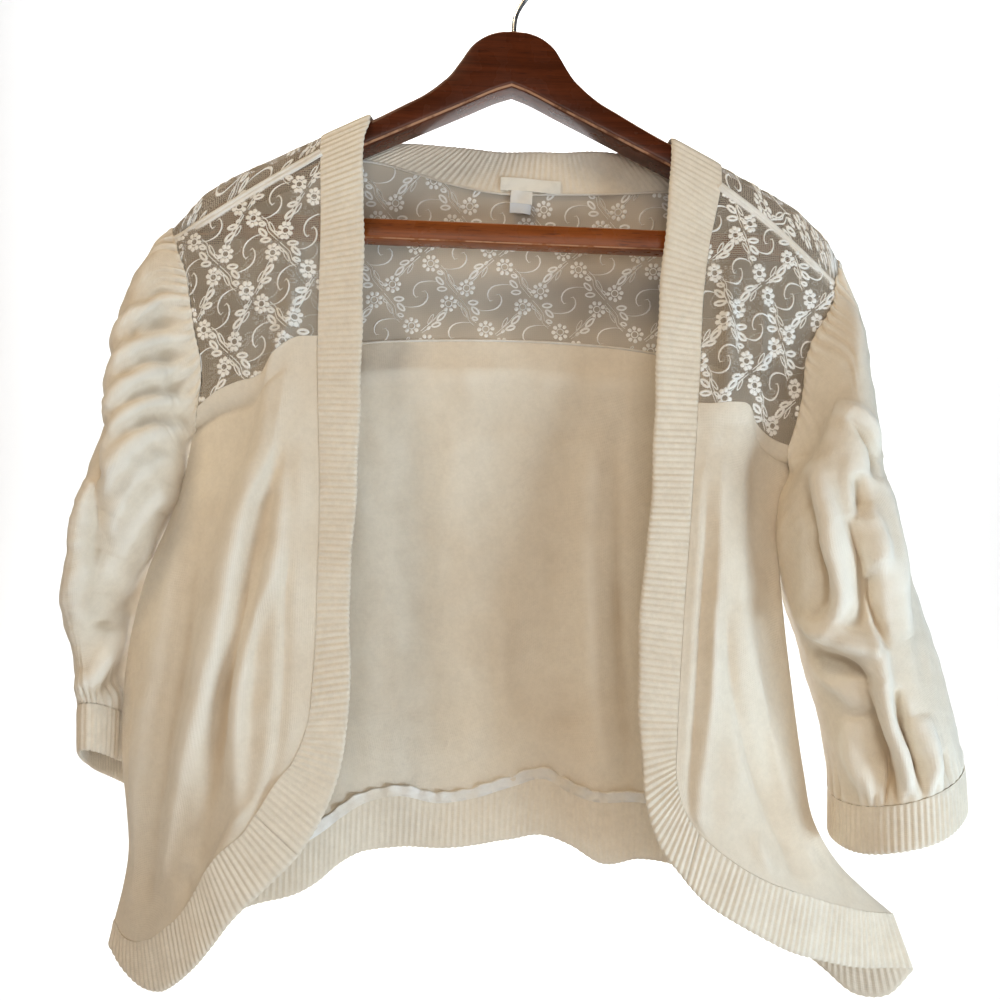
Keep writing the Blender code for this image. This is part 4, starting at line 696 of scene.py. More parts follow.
def shell(name, points, quads, normals, thick, finish, slot, uv=None, wrap=0, ring=False):
    """A closed thin cloth: the surface moved out and in by half the thickness, with a rim all round.

    A jersey piece carries at each point how far it lies below its surroundings, for painted shade in its
    hollows and painted highlight on its ridges.
    """
    marks = None
    if points.ndim == 3 and slot == "jersey":
        # Painted shading: depth below the surroundings, stronger on sleeves than on panels, kept so that the
        # knit's colour paints shade in hollows and highlight on ridges.
        deep = hollows(points, normals, ring).ravel() * (SLEEVE_PAINTED_SHADING if ring else PANEL_PAINTED_SHADING)
        marks = {"hollow": np.concatenate([deep, -deep])}
    points, normals = points.reshape(-1, 3), normals.reshape(-1, 3)
    n = len(points)
    ends = np.roll(quads, -1, axis=1)
    lone = ~np.isin(quads * n + ends, ends * n + quads)
    a, b = quads[lone], ends[lone]
    both = np.concatenate([points + normals * thick / 2, points - normals * thick / 2])
    faces = [quads, quads[:, ::-1] + n, np.stack([b, a, a + n, b + n], axis=1)]
    return put(name, both, faces, finish, uv, wrap, 75, marks)


def hollows(grid, normal, ring=False):
    """How far each point lies below its surroundings: the grid softened many times, less the grid."""
    soft = grid.copy()
    for _ in range(HOLLOW_STEPS):
        ahead, behind = np.roll(soft, -1, axis=1), np.roll(soft, 1, axis=1)
        if not ring:
            ahead[:, -1], behind[:, 0] = soft[:, -1], soft[:, 0]
        soft = (ahead + 2 * soft + behind) / 4
        soft[1:-1] = (soft[2:] + 2 * soft[1:-1] + soft[:-2]) / 4
    return ((soft - grid) * normal).sum(axis=2)


def swept(name, loops, finish, closed=False, uv=None, crisp=50, marks=None):
    """A solid carried along a path: loops of section points joined station by station, ends closed."""
    stations, around = loops.shape[:2]
    faces = [quads_of(stations, around, closed, True)]
    if not closed:
        first = np.arange(around)[None]
        faces += [first, first[:, ::-1] + (stations - 1) * around]
    return put(name, loops, faces, finish, uv, 0, crisp, marks)


def crease(grid, lines):
    """How far the listed creases move each point of a grid.

    Each adds its height times a bell of the distance from its line, seen from the front, with its
    own half width on each side, times a rise and fall along it.
    """
    flat = grid[..., [0, 2]].reshape(-1, 2)
    lift = np.zeros(len(flat))
    for table, right, left, height in lines:
        line = np.array(table, float)
        at = distances(line)
        line = hermite(line, at, np.linspace(0, at[-1], 18))
        start, step = line[:-1], np.diff(line, axis=0)
        share = np.clip(((flat[:, None] - start) * step).sum(2) / (step**2).sum(1), 0, 1)
        off = flat[:, None] - start - share[:, :, None] * step
        away = np.linalg.norm(off, axis=2)
        best = away.argmin(axis=1)
        row = np.arange(len(flat))
        along = (best + share[row, best]) / len(step)
        off = off[row, best]
        side = step[best, 0] * off[:, 1] - step[best, 1] * off[:, 0]
        width = np.where(side > 0, left, right)
        lift += height * np.sin(math.pi * along) ** 0.6 * np.exp(-((away[row, best] / width) ** 2))
    return lift.reshape(grid.shape[:2])


def set_creases(grid, normal, lines, seed, sign, scale=1.0):
    """Moves a panel's inside by its creases and by soft unevenness, and gives its new normals."""
    rows, columns = grid.shape[:2]
    u, v = np.linspace(0, 1, columns)[None], np.linspace(0, 1, rows)[:, None]
    held = np.clip(12 * u, 0, 1) * np.clip(12 * (1 - u), 0, 1)
    held = held * np.clip(14 * v, 0, 1) * np.clip(14 * (1 - v), 0, 1)
    lift = scale * crease(grid, lines) + 0.5 * ripple(grid, 42, seed) + 0.22 * ripple(grid, 15, seed + 1)
    grid = grid + normal * (lift * held)[:, :, None]
    return grid, outward(grid, sign)


def rib_band(name, stations, pitch, sign, seam_line, close=0, ring=False):
    """A doubled rib band, carried along its stations as a closed section.

    The rib's rise is half of one minus the cosine of its share of the pitch, to the power 0.85; the
    inner face has its ribs where the outer one has its valleys, and the fold at the opening is round.
    """
    stations = np.array(stations, float)
    middle = smooth(stations, 400)
    length = np.linalg.norm(np.diff((middle[:, :3] + middle[:, 3:6]) / 2, axis=0), axis=1).sum()
    ribs = close + INSIDE_RIBS * max(1, round((length / pitch - close) / INSIDE_RIBS))
    fine = smooth(stations, RIB_STEPS * ribs + 1)
    if ring:
        fine = fine[:-1]
    seam, opening = fine[:, :3].copy(), fine[:, 3:6].copy()
    seam, near, facing = nearest(seam, *seam_line, SEAM_REACH)
    if ring:
        along = np.roll(seam + opening, -3, axis=0) - np.roll(seam + opening, 3, axis=0)
    else:
        along = np.gradient(seam + opening, axis=0)
    normal = unit(np.cross(along, opening - seam) * sign)
    normal_seam = np.where(near[:, None], facing, normal)
    seam += across_edge(seam, opening, normal_seam, ring) * SEAM_GAP / 2
    if not ring:
        for chain in (seam, opening):
            chain[0] += unit(chain[1] - chain[0]) * SEAM_GAP / 2
            chain[-1] += unit(chain[-2] - chain[-1]) * SEAM_GAP / 2
    place = np.arange(len(fine)) / RIB_STEPS
    rib = ((1 - np.cos(2 * math.pi * place)) / 2) ** 0.85
    uneven = 1 + 0.18 * np.sin(place * 0.83 + 1.7 * np.sin(place * 0.21))
    strength = bpy.context.scene.cardigan.rib_height / MM * uneven
    opening += unit(opening - seam) * (0.45 * rib + 0.35 * np.sin(place * 0.47))[:, None]
    loops = []
    for share, out in RIB_SECTION:
        fade = min(1.0, 0.5 + 5 * share, 0.25 + 9 * (1.0 - share))
        facing = unit(normal_seam * (1 - share) + normal * share)
        lift = out * BAND / 2
        if out > 0:
            lift = lift + strength * rib * fade
        elif out < 0:
            lift = lift - 0.6 * strength * (1 - rib) * fade
        loops.append(seam + (opening - seam) * share + facing * np.reshape(lift, (-1, 1)))
    loops = np.stack(loops, axis=1)
    spot = spread((place * pitch)[:, None], np.linspace(0, 60, len(RIB_SECTION))[None])
    return swept(name, loops, knit("rib_knit"), ring, spot, crisp=70)


def back_yoke_net():
    """The fine back yoke: caps over the hanger's arms joined to the part behind the neck."""
    caps = []
    for tip, shoulder, seam_x in ((TIP_RIGHT, SHOULDER_RIGHT, FRONT_SEAM_X[0]),
                                  (TIP_LEFT, SHOULDER_LEFT, FRONT_SEAM_X[1])):
        strip = edge(shoulder)[::-1]
        neck_end = np.array(NECK_BAND[0 if seam_x < 0 else -1][:3], float)
        columns = []
        for share in CAP_SHARES:
            start = strip[round(share * (len(strip) - 1))]
            x = start[0]
            column = [start] + [[x, depth, arm_top(x) + rise] for depth, rise in OVER_ARM]
            column.append([x + (neck_end[0] - seam_x) * share, 14.5, arm_top(x) - 6])
            columns.append(np.array(column))
        columns[0] = np.array(tip, float)
        columns[-1][-1] = neck_end
        cap = finer(np.stack(columns, axis=1), CAP_ROWS, 0)
        caps.append(finer(cap, CAP_COLUMNS, 1))
    right, left = caps[0], caps[1][:, ::-1]
    neck = even(edge([row[:3] for row in NECK_BAND]), NECK_COLUMNS)
    top = np.concatenate([right[-1], neck[1:-1], left[-1]])
    cap_place = np.interp(np.linspace(0, 1, CAP_COLUMNS), CAP_SHARES, np.arange(len(CAP_SHARES)))
    last = len(BACK_COLUMNS) - 1
    over = len(CAP_SHARES) - 1
    place = np.concatenate([cap_place, np.linspace(over, last - over, NECK_COLUMNS)[1:-1],
                            last - cap_place[::-1]])
    shares = np.interp(place, np.arange(last + 1), BACK_COLUMNS)
    u, v = (place / last)[None, :, None], np.linspace(0, 1, BACK_YOKE_ROWS)[:, None, None]
    near, far = smooth(ARMHOLE_BACK_RIGHT, BACK_YOKE_ROWS), smooth(ARMHOLE_BACK_LEFT, BACK_YOKE_ROWS)
    main = spanned(top, even(edge(YOKE_SEAM_BACK), shares), near, far, u, v)
    main[:, :, 1] += (YOKE_BELLY * np.sin(math.pi * v) * np.sin(math.pi * u))[:, :, 0]
    points, quads = [main.reshape(-1, 3)], [quads_of(*main.shape[:2])]
    plans = [main[..., [0, 2]].reshape(-1, 2)]
    total = len(points[0])
    index = {"main": np.arange(total).reshape(main.shape[:2])}
    for name, cap, first in (("right", right, 0), ("left", left, len(top) - CAP_COLUMNS)):
        rows, columns = cap.shape[:2]
        at = np.arange(rows * columns).reshape(rows, columns) + total
        at[-1] = first + np.arange(columns)
        index[name] = at
        points.append(cap[:-1].reshape(-1, 3))
        rise = np.linalg.norm(np.diff(cap, axis=0), axis=2)[::-1].cumsum(axis=0)[::-1]
        plans.append(np.stack([cap[:-1, :, 0], cap[-1:, :, 2] + rise], axis=2).reshape(-1, 2))
        total += (rows - 1) * columns
        quads.append(at.ravel()[quads_of(rows, columns)])
    points, quads = np.concatenate(points), np.concatenate(quads)
    normals = np.zeros_like(points)
    a, b, c, d = (points[quads[:, k]] for k in range(4))
    facing = np.cross(c - a, d - b)
    for k in range(4):
        np.add.at(normals, quads[:, k], facing)
    normals = unit(normals)
    if normals[index["main"][2, CAP_COLUMNS * 2], 1] < 0:
        normals = -normals
    return points, quads, normals, index, np.concatenate(plans), shares


def front_cloth(sign, bands, shoulder, shoulder_out, yoke_seam, armhole, underarm, side_seam, folds,
                yoke_folds, creases, yoke_creases, seed):
    """The surfaces and normals of one side's lace front yoke and plain front panel."""
    across = np.linspace(0, 1, FRONT_COLUMNS)
    soft = bpy.context.scene.cardigan.fold_depth
    seam, side_line = edge(yoke_seam), edge(side_seam) - [0, SIDE_OFFSET, 0]
    yoke_inner, panel_inner = cut_at(band_edge(bands[0]), yoke_seam[0][2])
    yoke_inner[-1] = panel_inner[0] = seam[0]
    yoke_inner[0] = shoulder[0]
    yoke = patch(shoulder, seam, yoke_inner, edge(armhole), across, YOKE_ROWS)
    yoke = fold(yoke, across, yoke_folds, FRONT_FOLD_SHARE, YOKE_BELLY, -1)
    outer = np.concatenate([edge(underarm), side_line[1:]])
    foot = band_edge(bands[1])
    foot[-1] = outer[-1]
    body = patch(seam, foot, panel_inner, outer, across, PANEL_ROWS)
    body = fold(body, across, folds, FRONT_FOLD_SHARE, FRONT_BELLY, -1)
    yoke, yoke_out = set_creases(yoke, outward(yoke, sign), yoke_creases, seed, sign, soft)
    body, body_out = set_creases(body, outward(body, sign), creases, seed + 7, sign, soft)
    agree(yoke_out[-1], body_out[0])
    yoke_out[0] = nearest(yoke[0], shoulder, shoulder_out, SEAM_REACH)[2]
    return yoke, yoke_out, body, body_out


CUT = {}


def cut():
    """Every cloth surface, worked out once from the tables."""
    if CUT:
        return CUT
    points, quads, out, index, plan, shares = back_yoke_net()
    CUT.update(points=points, quads=quads, out=out, index=index, plan=plan,
               neck=index["main"][0, CAP_COLUMNS - 1:1 - CAP_COLUMNS])
    right, left, behind = index["right"], index["left"], index["main"]
    CUT["right"] = front_cloth(
        1, (FRONT_BAND_RIGHT, HEM_BAND_RIGHT), points[right[0, ::-1]], out[right[0, ::-1]],
        YOKE_SEAM_RIGHT, ARMHOLE_FRONT_RIGHT, UNDERARM_RIGHT, SIDE_RIGHT, FOLDS_RIGHT,
        YOKE_FOLDS_RIGHT, CREASES_RIGHT, CREASES_YOKE_RIGHT, 11)
    CUT["left"] = front_cloth(
        -1, (FRONT_BAND_LEFT, HEM_BAND_LEFT), points[left[0]], out[left[0]],
        YOKE_SEAM_LEFT, ARMHOLE_FRONT_LEFT, UNDERARM_LEFT, SIDE_LEFT, FOLDS_LEFT,
        YOKE_FOLDS_LEFT, CREASES_LEFT, CREASES_YOKE_LEFT, 23)
    side_right, side_left = (edge(side) + [0, SIDE_OFFSET, 0] for side in (SIDE_RIGHT, SIDE_LEFT))
    under_right = np.array([(-200, 13, -321), (-198.5, 7, -335), side_right[0]])
    under_left = np.array([(200, 13, -321), (198, 7, -338), side_left[0]])
    body = patch(edge(YOKE_SEAM_BACK), band_edge(HEM_BAND_BACK),
                 np.concatenate([edge(under_right), side_right[1:]]),
                 np.concatenate([edge(under_left), side_left[1:]]), shares, BACK_ROWS)
    body = fold(body, shares, FOLDS_BACK, BACK_FOLD_SHARE, BACK_BELLY, 1)
    body, body_out = set_creases(body, outward(body, 1), CREASES_BACK, 31, 1)
    agree(body_out[0], out[behind[-1]])
    CUT["back"] = body, body_out
    CUT["under"] = {"right": under_right, "left": under_left}
    return CUT


def sleeve(side, sign, rings, folds, cord, drawn_in, creases):
    """A gathered sleeve: a tube through its rings, with folds, creases, gathers and a pulled cord.

    The tube leans in toward the body by a bell along its length. Folds are bells of the angle round
    it, creases from the listed lines are laid where it faces front, gathers are waves round the head and
    wrist that fade away from the seams, and the puckers are waves along the cord, as high as it is drawn
    in, that widen and fade away from it.
    """
    look = bpy.context.scene.cardigan
    rows, count = SLEEVE_ROWS, SLEEVE_COLUMNS
    stack = np.stack(rings)
    at = mean_distances(stack)
    s = np.linspace(0, 1, rows)
    grid = hermite(stack.reshape(len(rings), -1), at, s * at[-1]).reshape(rows, count, 3)
    lean = np.exp(-(((s - 0.3) / 0.28) ** 2)) * np.clip(s / 0.02, 0, 1)
    grid[..., 0] -= sign * SLEEVE_IN * lean[:, None]
    normal = outward(grid, sign, ring=True)
    degrees = np.arange(count) * 360 / count
    lift = np.zeros((rows, count))
    ends = np.clip(s / 0.12, 0, 1) * np.clip((1 - s) / 0.10, 0, 1)
    for begin, end, start, stop, half_width, height in folds:
        run = np.clip((s - start) / (stop - start), 0, 1)
        off = (degrees[None] - (begin + (end - begin) * run)[:, None] + 180) % 360 - 180
        share = 0.45 if begin < 180 else 1.0
        lift += share * (height * np.exp(-((off / half_width) ** 2))
                         * (np.sin(math.pi * run) ** 0.8 * ends)[:, None])
    grid = grid + normal * lift[:, :, None]
    normal = outward(grid, sign, ring=True)
    wrist = grid[-1].copy(), normal[-1]
    facing = np.clip(-normal[..., 1] * 2.2, 0, 1)
    held = (np.clip(s / 0.03, 0, 1) * np.clip((1 - s) / 0.05, 0, 1))[:, None]
    laid = SLEEVE_CREASES * look.fold_depth * crease(grid, creases) * facing * held
    grid = grid + normal * laid[..., None]
    normal = outward(grid, sign, ring=True)

    round_about = np.linalg.norm(np.diff(grid, axis=1), axis=2).sum(axis=1)
    down = s[:, None] * at[-1]
    up = (1 - s)[:, None] * at[-1]
    turn = degrees[None] / 360
    cap = np.exp(-((((degrees + 180) % 360 - 180) / 100) ** 4))[None]
    length = 15 + 9 * np.sin(turn * 41) + 5 * np.sin(turn * 97 + 1)
    wave = np.sin(turn * 2 * math.pi * 46 + 1.6 * np.sin(turn * 2 * math.pi * 7) + 0.03 * down)
    gather = look.gather_height / MM
    lift = gather * wave * (0.25 + 0.75 * cap) * (1 - np.exp(-((down / 1.5) ** 2))) * np.exp(
        -((down / length) ** 1.6))
    wave = np.sin(turn * 2 * math.pi * 38 + 1.9 * np.sin(turn * 2 * math.pi * 5 + 1))
    lift += 0.7 * gather * wave * (1 - np.exp(-((up / 1.5) ** 2))) * np.exp(
        -((up / (length * 0.8)) ** 1.6))
    aside = (degrees - cord * 360 / CAD_SLEEVE_COLUMNS + 180) % 360 - 180
    aside = aside[None] / 360 * round_about[:, None]
    drawn = drawn_in * np.clip((s - 0.07) / 0.1, 0, 1)[:, None] * np.clip((1 - s) / 0.04, 0, 1)[:, None]
    beat = down / 7.2 + 0.5 * np.sin(down / 21) + 0.25 * np.sin(down / 9.7 + 2)
    away = np.abs(aside)
    lift += drawn * 1.9 * np.cos(2 * math.pi * (beat + 0.012 * aside)) * np.exp(-((away / 8.5) ** 1.5))
    lift += drawn * 1.3 * np.cos(math.pi * beat + 1 + 0.03 * aside) * np.exp(-(((away - 12) / 9) ** 2))
    lift -= drawn * 2.2 * np.exp(-((aside / 2.0) ** 2))
    lift += (0.8 * ripple(grid, 38, 41 + sign) + 0.35 * ripple(grid, 14, 51 + sign)) * ends[:, None]
    grid = grid + normal * lift[..., None]
    normal = outward(grid, sign, ring=True)
    for line, inner in ((0, 1), (-1, -2)):
        grid[line] += across_edge(grid[line], grid[inner], normal[line], True) * SEAM_GAP / 2
    place, width = lengths(grid, True)
    made = shell(f"sleeve_{side}_cloth", grid, quads_of(rows, count, False, True), normal, JERSEY,
                 knit("jersey_knit"), "jersey", place, width, True)
    return made, [np.concatenate([rows, rows[:1]]) for rows in wrist]


def lens(outline, high):
    """A small closed cushion over an outline: one ring part way in and a middle point, on both faces."""
    outline = np.array(outline, float)
    m = len(outline)
    middle = outline.mean(axis=0)
    inside = middle + (outline - middle) * 0.55
    flat, up = np.zeros((m, 1)), np.full((m, 1), high * 0.8)
    points = np.concatenate([np.hstack([outline, flat]), np.hstack([inside, up]),
                             np.hstack([inside, -up]), [[*middle, high], [*middle, -high]]])
    i = np.arange(m)
    k = (i + 1) % m
    quads = np.concatenate([np.stack([i, k, k + m, i + m], axis=1),
                            np.stack([k, i, i + 2 * m, k + 2 * m], axis=1)])
    tips = np.concatenate([np.stack([i + m, k + m, np.full(m, 3 * m)], axis=1),
                           np.stack([k + 2 * m, i + 2 * m, np.full(m, 3 * m + 1)], axis=1)])
    return points, quads, tips


def thread(path, width, closed=False):
    """A thread of lace along a flat path: a five-sided section, of a given half width, at each point."""
    path = np.array(path, float)
    ahead = heading(path, closed)
    side = unit(np.stack([-ahead[:, 1], ahead[:, 0]], axis=1))
    size = np.broadcast_to(width, len(path))[:, None]
    high = np.clip(size * 1.3, 0.2, MOTIF_HIGH)
    loops = np.stack([np.hstack([path + side * size * a, high * b])
                      for a, b in ((1, 0), (0.25, 1), (-0.25, 1), (-1, 0), (0, -1))], axis=1)
    quads = quads_of(len(path), 5, closed, True)
    tips = np.zeros((0, 3), int)
    if not closed:
        ends = np.array([[0, 1, 2], [0, 2, 3], [0, 3, 4]])
        tips = np.concatenate([ends, ends[:, ::-1] + 5 * (len(path) - 1)])
    return loops.reshape(-1, 3), quads, tips


def turned(shape, turn, at=(0, 0)):
    """A flat shape turned by an angle in radians and moved."""
    c, s = math.cos(turn), math.sin(turn)
    return np.array(shape, float) @ np.array([(c, s), (-s, c)]) + at


def flower(at, turn):
    """A flower of eight petals round an open ring."""
    made = [lens(turned(PETAL, turn + k * math.pi / 4, at), MOTIF_HIGH) for k in range(8)]
    a = np.arange(12) * math.pi / 6
    made.append(thread(np.stack([np.cos(a), np.sin(a)], 1) * 2.25 + at, 0.62, True))
    return made


def slit_leaf(length, width, turn, at, rim_half):
    """A pointed leaf open along its middle: a closed thread round a pointed oval."""
    a = np.arange(12) * math.pi / 6
    shape = np.stack([(length / 2 - rim_half) * np.cos(a),
                      (width / 2 - rim_half) * np.sin(a) * np.abs(np.sin(a)) ** 0.35], 1)
    return thread(turned(shape, turn, at), rim_half, True)


def bent(table, sign, count):
    """A smooth flat path through a table of points, or through their opposites."""
    return even(smooth(np.insert(np.array(table, float) * sign, 1, 0, axis=1), 60), count)[:, [0, 2]]


def motifs(second):
    """The lace round one crossing of its lattice: two flowers, leaves, stems and a pair of hooks.

    Crossings of two kinds take turns; the second kind has its flowers on the other diagonal, and no leaves
    or stems.
    """
    flowers, leaves = [], []
    for k, (x, z) in enumerate(FLOWERS_SECOND if second else FLOWERS_FIRST):
        flowers += flower((x, z), 0.1 + 0.3 * k)
    for sign in (1, -1):
        if not second:
            for length, wide, turn, x, z, rim_half in LEAVES:
                leaves.append(slit_leaf(length, wide, turn, (sign * x, sign * z), rim_half))
            for table in STEMS:
                leaves.append(thread(bent(table, sign, 9), 0.4))
        swell = np.interp(np.linspace(0, 1, 12), (0, 0.3, 0.6, 0.9, 1), (0.2, 0.5, 0.85, 0.6, 0.15))
        leaves.append(thread(bent(HOOK_PATH, sign, 12) + [LATTICE_WIDE / 2, 0], swell))
    return flowers, leaves


def joined(pieces):
    """One set of points, quads and tips from several, each tip and quad moved past the earlier points."""
    start = np.cumsum([0] + [len(p) for p, _, _ in pieces[:-1]])
    return (np.concatenate([p for p, _, _ in pieces]),
            np.concatenate([q + s for (_, q, _), s in zip(pieces, start)]),
            np.concatenate([t + s for (_, _, t), s in zip(pieces, start)]))


def locate(plan, wanted):
    """The row and column of each wanted place in a grid of places, by Newton steps on its quads."""
    top = np.array(plan.shape[:2]) - 1 - 1e-6
    low, high = plan.reshape(-1, 2).min(0), plan.reshape(-1, 2).max(0)
    share = (wanted - low) / (high - low)
    down = share[:, 1] if plan[-1, 0, 1] > plan[0, 0, 1] else 1 - share[:, 1]
    over = share[:, 0] if plan[0, -1, 0] > plan[0, 0, 0] else 1 - share[:, 0]
    at = np.stack([down, over], axis=1) * top
    for _ in range(14):
        inside = np.clip(at, 0, top)
        i, j = inside.astype(int).T
        f, g = (inside - inside.astype(int)).T[:, :, None]
        a, b, c, d = plan[i, j], plan[i, j + 1], plan[i + 1, j], plan[i + 1, j + 1]
        off = wanted - (a * (1 - f) * (1 - g) + b * (1 - f) * g + c * f * (1 - g) + d * f * g)
        p, q = (c - a) * (1 - g) + (d - b) * g, (b - a) * (1 - f) + (d - c) * f
        det = p[:, 0] * q[:, 1] - p[:, 1] * q[:, 0]
        det = np.where(np.abs(det) < 1e-9, 1e-9, det)
        move = np.stack([(off[:, 0] * q[:, 1] - off[:, 1] * q[:, 0]) / det,
                         (p[:, 0] * off[:, 1] - p[:, 1] * off[:, 0]) / det], axis=1)
        at = inside + np.clip(move, -15, 15)
    return at


def onto(parts, wanted):
    """Lays flat places on the nearest of several surfaces: points, directions out, and how far off."""
    best = None
    for grid, normal, plan in parts:
        at = locate(plan, wanted)
        top = np.array(plan.shape[:2]) - 1 - 1e-6
        inside = np.clip(at, 0, top)
        size = np.linalg.norm([plan[-1, 0] - plan[0, 0], plan[0, -1] - plan[0, 0]], axis=1) / top
        off = np.abs(at - inside) @ size
        i, j = inside.astype(int).T
        f, g = (inside - inside.astype(int)).T[:, :, None]
        spot, way = [values[i, j] * (1 - f) * (1 - g) + values[i, j + 1] * (1 - f) * g
                     + values[i + 1, j] * f * (1 - g) + values[i + 1, j + 1] * f * g
                     for values in (grid, normal)]
        if best is None:
            best = [spot, way, off]
        else:
            closer = off < best[2]
            for k, value in enumerate((spot, way, off)):
                best[k][closer] = value[closer]
    return best[0], unit(best[1]), best[2]


def lace(name, parts, kinds, finish, lattice):
    """Lace motifs laid over a yoke: each element stands at every lattice crossing that meets the cloth.

    The lattice is a place and two steps. An element's middle follows the steps' stretch and slant;
    a large element is stretched and slanted whole, and round its middle a small one keeps its size.
    """
    start, over, down = (np.array(v, float) for v in lattice)
    plan = np.concatenate([part[2].reshape(-1, 2) for part in parts])
    reach = np.arange(-9, 10)
    i, j = (v.ravel() for v in np.meshgrid(reach, reach))
    bend = np.stack([over / LATTICE_WIDE, -down / LATTICE_TALL])
    sets = []
    for second, elements in enumerate(kinds):
        share = second / 2
        spots = start + (i[:, None] + share) * over + (j[:, None] + share) * down
        spots = spots[((spots > plan.min(0) - 45) & (spots < plan.max(0) + 45)).all(axis=1)]
        for points, quads, tips in elements:
            m, middle = len(points), points[:, :2].mean(axis=0)
            size = np.abs(points[:, :2] - middle).max()
            shape = points[:, :2] @ bend if size > 6 else middle @ bend + points[:, :2] - middle
            _, _, off = onto(parts, spots + shape.mean(axis=0))
            kept = spots[off < 0.3]
            if not len(kept):
                continue
            spot, way, off = onto(parts, (kept[:, None] + shape[None]).reshape(-1, 2))
            high_up = np.tile(points[:, 2], len(kept)) * (1 + 0.25 * ripple(spot, 9, 3))
            first = (np.arange(len(kept)) * m)[:, None, None]
            sets.append((spot + way * high_up[:, None], (first + quads).reshape(-1, 4),
                         (first + tips).reshape(-1, 3)))
    points, quads, tips = joined(sets)
    return put(name, points, [quads, tips] if len(tips) else [quads], finish, crisp=80)


def group(name, inputs, outputs):
    """An empty shader node group with named sockets, and its input and output nodes."""
    made = bpy.data.node_groups.new(name, "ShaderNodeTree")
    kinds = {"value": "NodeSocketFloat", "colour": "NodeSocketColor", "vector": "NodeSocketVector"}
    for title, kind, start in inputs:
        socket = made.interface.new_socket(name=title, in_out="INPUT", socket_type=kinds[kind])
        if start is not None:
            socket.default_value = start
    for title, kind in outputs:
        made.interface.new_socket(name=title, in_out="OUTPUT", socket_type=kinds[kind])
    return made, made.nodes.new("NodeGroupInput"), made.nodes.new("NodeGroupOutput")


def fill(tree, made, inputs):
    """Puts values or links in a node's sockets."""
    for key, value in dict(inputs).items():
        if isinstance(value, bpy.types.NodeSocket):
            tree.links.new(value, made.inputs[key])
        else:
            made.inputs[key].default_value = value
    return made


def node(tree, kind, inputs=(), **settings):
    """A node with its settings, and with values or links put in its sockets."""
    made = tree.nodes.new("ShaderNode" + kind)
    for key, value in settings.items():
        setattr(made, key, value)
    return fill(tree, made, inputs)


def sums(tree, kind, *values):
    """The result of a Math node on numbers or sockets."""
    return node(tree, "Math", dict(enumerate(values)), operation=kind).outputs[0]


def between(tree, value, low, high, first, last):
    """A value carried smoothly from one range to another and held inside it."""
    return node(tree, "MapRange", {"Value": value, "From Min": low, "From Max": high, "To Min": first,
                                   "To Max": last}, interpolation_type="SMOOTHSTEP").outputs[0]


def blend(tree, share, one, other):
    """Two colours mixed."""
    return node(tree, "Mix", {0: share, 6: one, 7: other}, data_type="RGBA").outputs[2]


def noise(tree, place, scale, detail=2.0, rough=0.5, stretch=None):
    """Noise at a scale in repeats to the metre, stretched where asked."""
    if stretch:
        place = node(tree, "Mapping", {"Vector": place, "Scale": stretch}).outputs[0]
    return node(tree, "TexNoise", {"Vector": place, "Scale": scale, "Detail": detail,
                                   "Roughness": rough}).outputs["Fac"]


def knit_group():
    """Knit: soft changes of tone over the cloth, fine mottling, and stitches as small crossed waves.

    Hollows are painted a tan shade and ridges a pale highlight, from how far the cloth lies below its
    surroundings.
    """
    made, given, out = group(
        "knit", [("Place", "vector", None), ("Cloth", "vector", None), ("Light", "colour", None),
                 ("Shade", "colour", None), ("Stitches", "value", 800.0), ("Mottle", "value", 0.1),
                 ("Hollow", "value", 0.0)],
        [("Colour", "colour"), ("Roughness", "value"), ("Height", "value")])
    place, cloth, mottle, hollow = (given.outputs[k] for k in ("Place", "Cloth", "Mottle", "Hollow"))
    soft = between(made, noise(made, place, 13, 3, 0.6), 0.34, 0.66, 0, 1)
    fuzz = noise(made, place, 330, 4, 0.75)
    flecks = noise(made, place, 95, 3, 0.7)
    tone = blend(made, soft, given.outputs["Light"], given.outputs["Shade"])
    dark = sums(made, "MULTIPLY", mottle, between(made, fuzz, 0.35, 0.65, 1, 0))
    dark = sums(made, "ADD", dark, sums(made, "MULTIPLY", mottle,
                                        between(made, flecks, 0.35, 0.6, 0.8, 0)))
    tone = blend(made, dark, tone, MOTTLE_DARK)
    # Painted shade: tan laid into hollows. Painted highlight: pale laid onto ridges.
    tone = blend(made, between(made, hollow, 0.1, 2.4, 0, 0.62), tone, TROUGH_PAINTED_SHADE)
    tone = blend(made, between(made, hollow, -1.8, -0.1, 0.5, 0), tone, RIDGE_PAINTED_HIGHLIGHT)
    split = node(made, "SeparateXYZ", {0: cloth})
    turns = sums(made, "MULTIPLY", given.outputs["Stitches"], 2 * math.pi)
    across, down = (sums(made, "MULTIPLY", split.outputs[k], turns) for k in (0, 1))
    wales = sums(made, "SINE", across)
    courses = sums(made, "SINE", sums(made, "ADD", sums(made, "MULTIPLY", down, 1.3),
                                      sums(made, "MULTIPLY", sums(made, "ABSOLUTE", wales), 1.2)))
    stitch = sums(made, "ADD", sums(made, "MULTIPLY", wales, 0.5), sums(made, "MULTIPLY", courses, 0.5))
    height = sums(made, "ADD", sums(made, "MULTIPLY", stitch, 0.35), sums(made, "MULTIPLY", fuzz, 0.9))
    fill(made, out, {"Colour": tone, "Roughness": between(made, fuzz, 0.3, 0.7, 0.78, 0.95),
                     "Height": height})
    return made


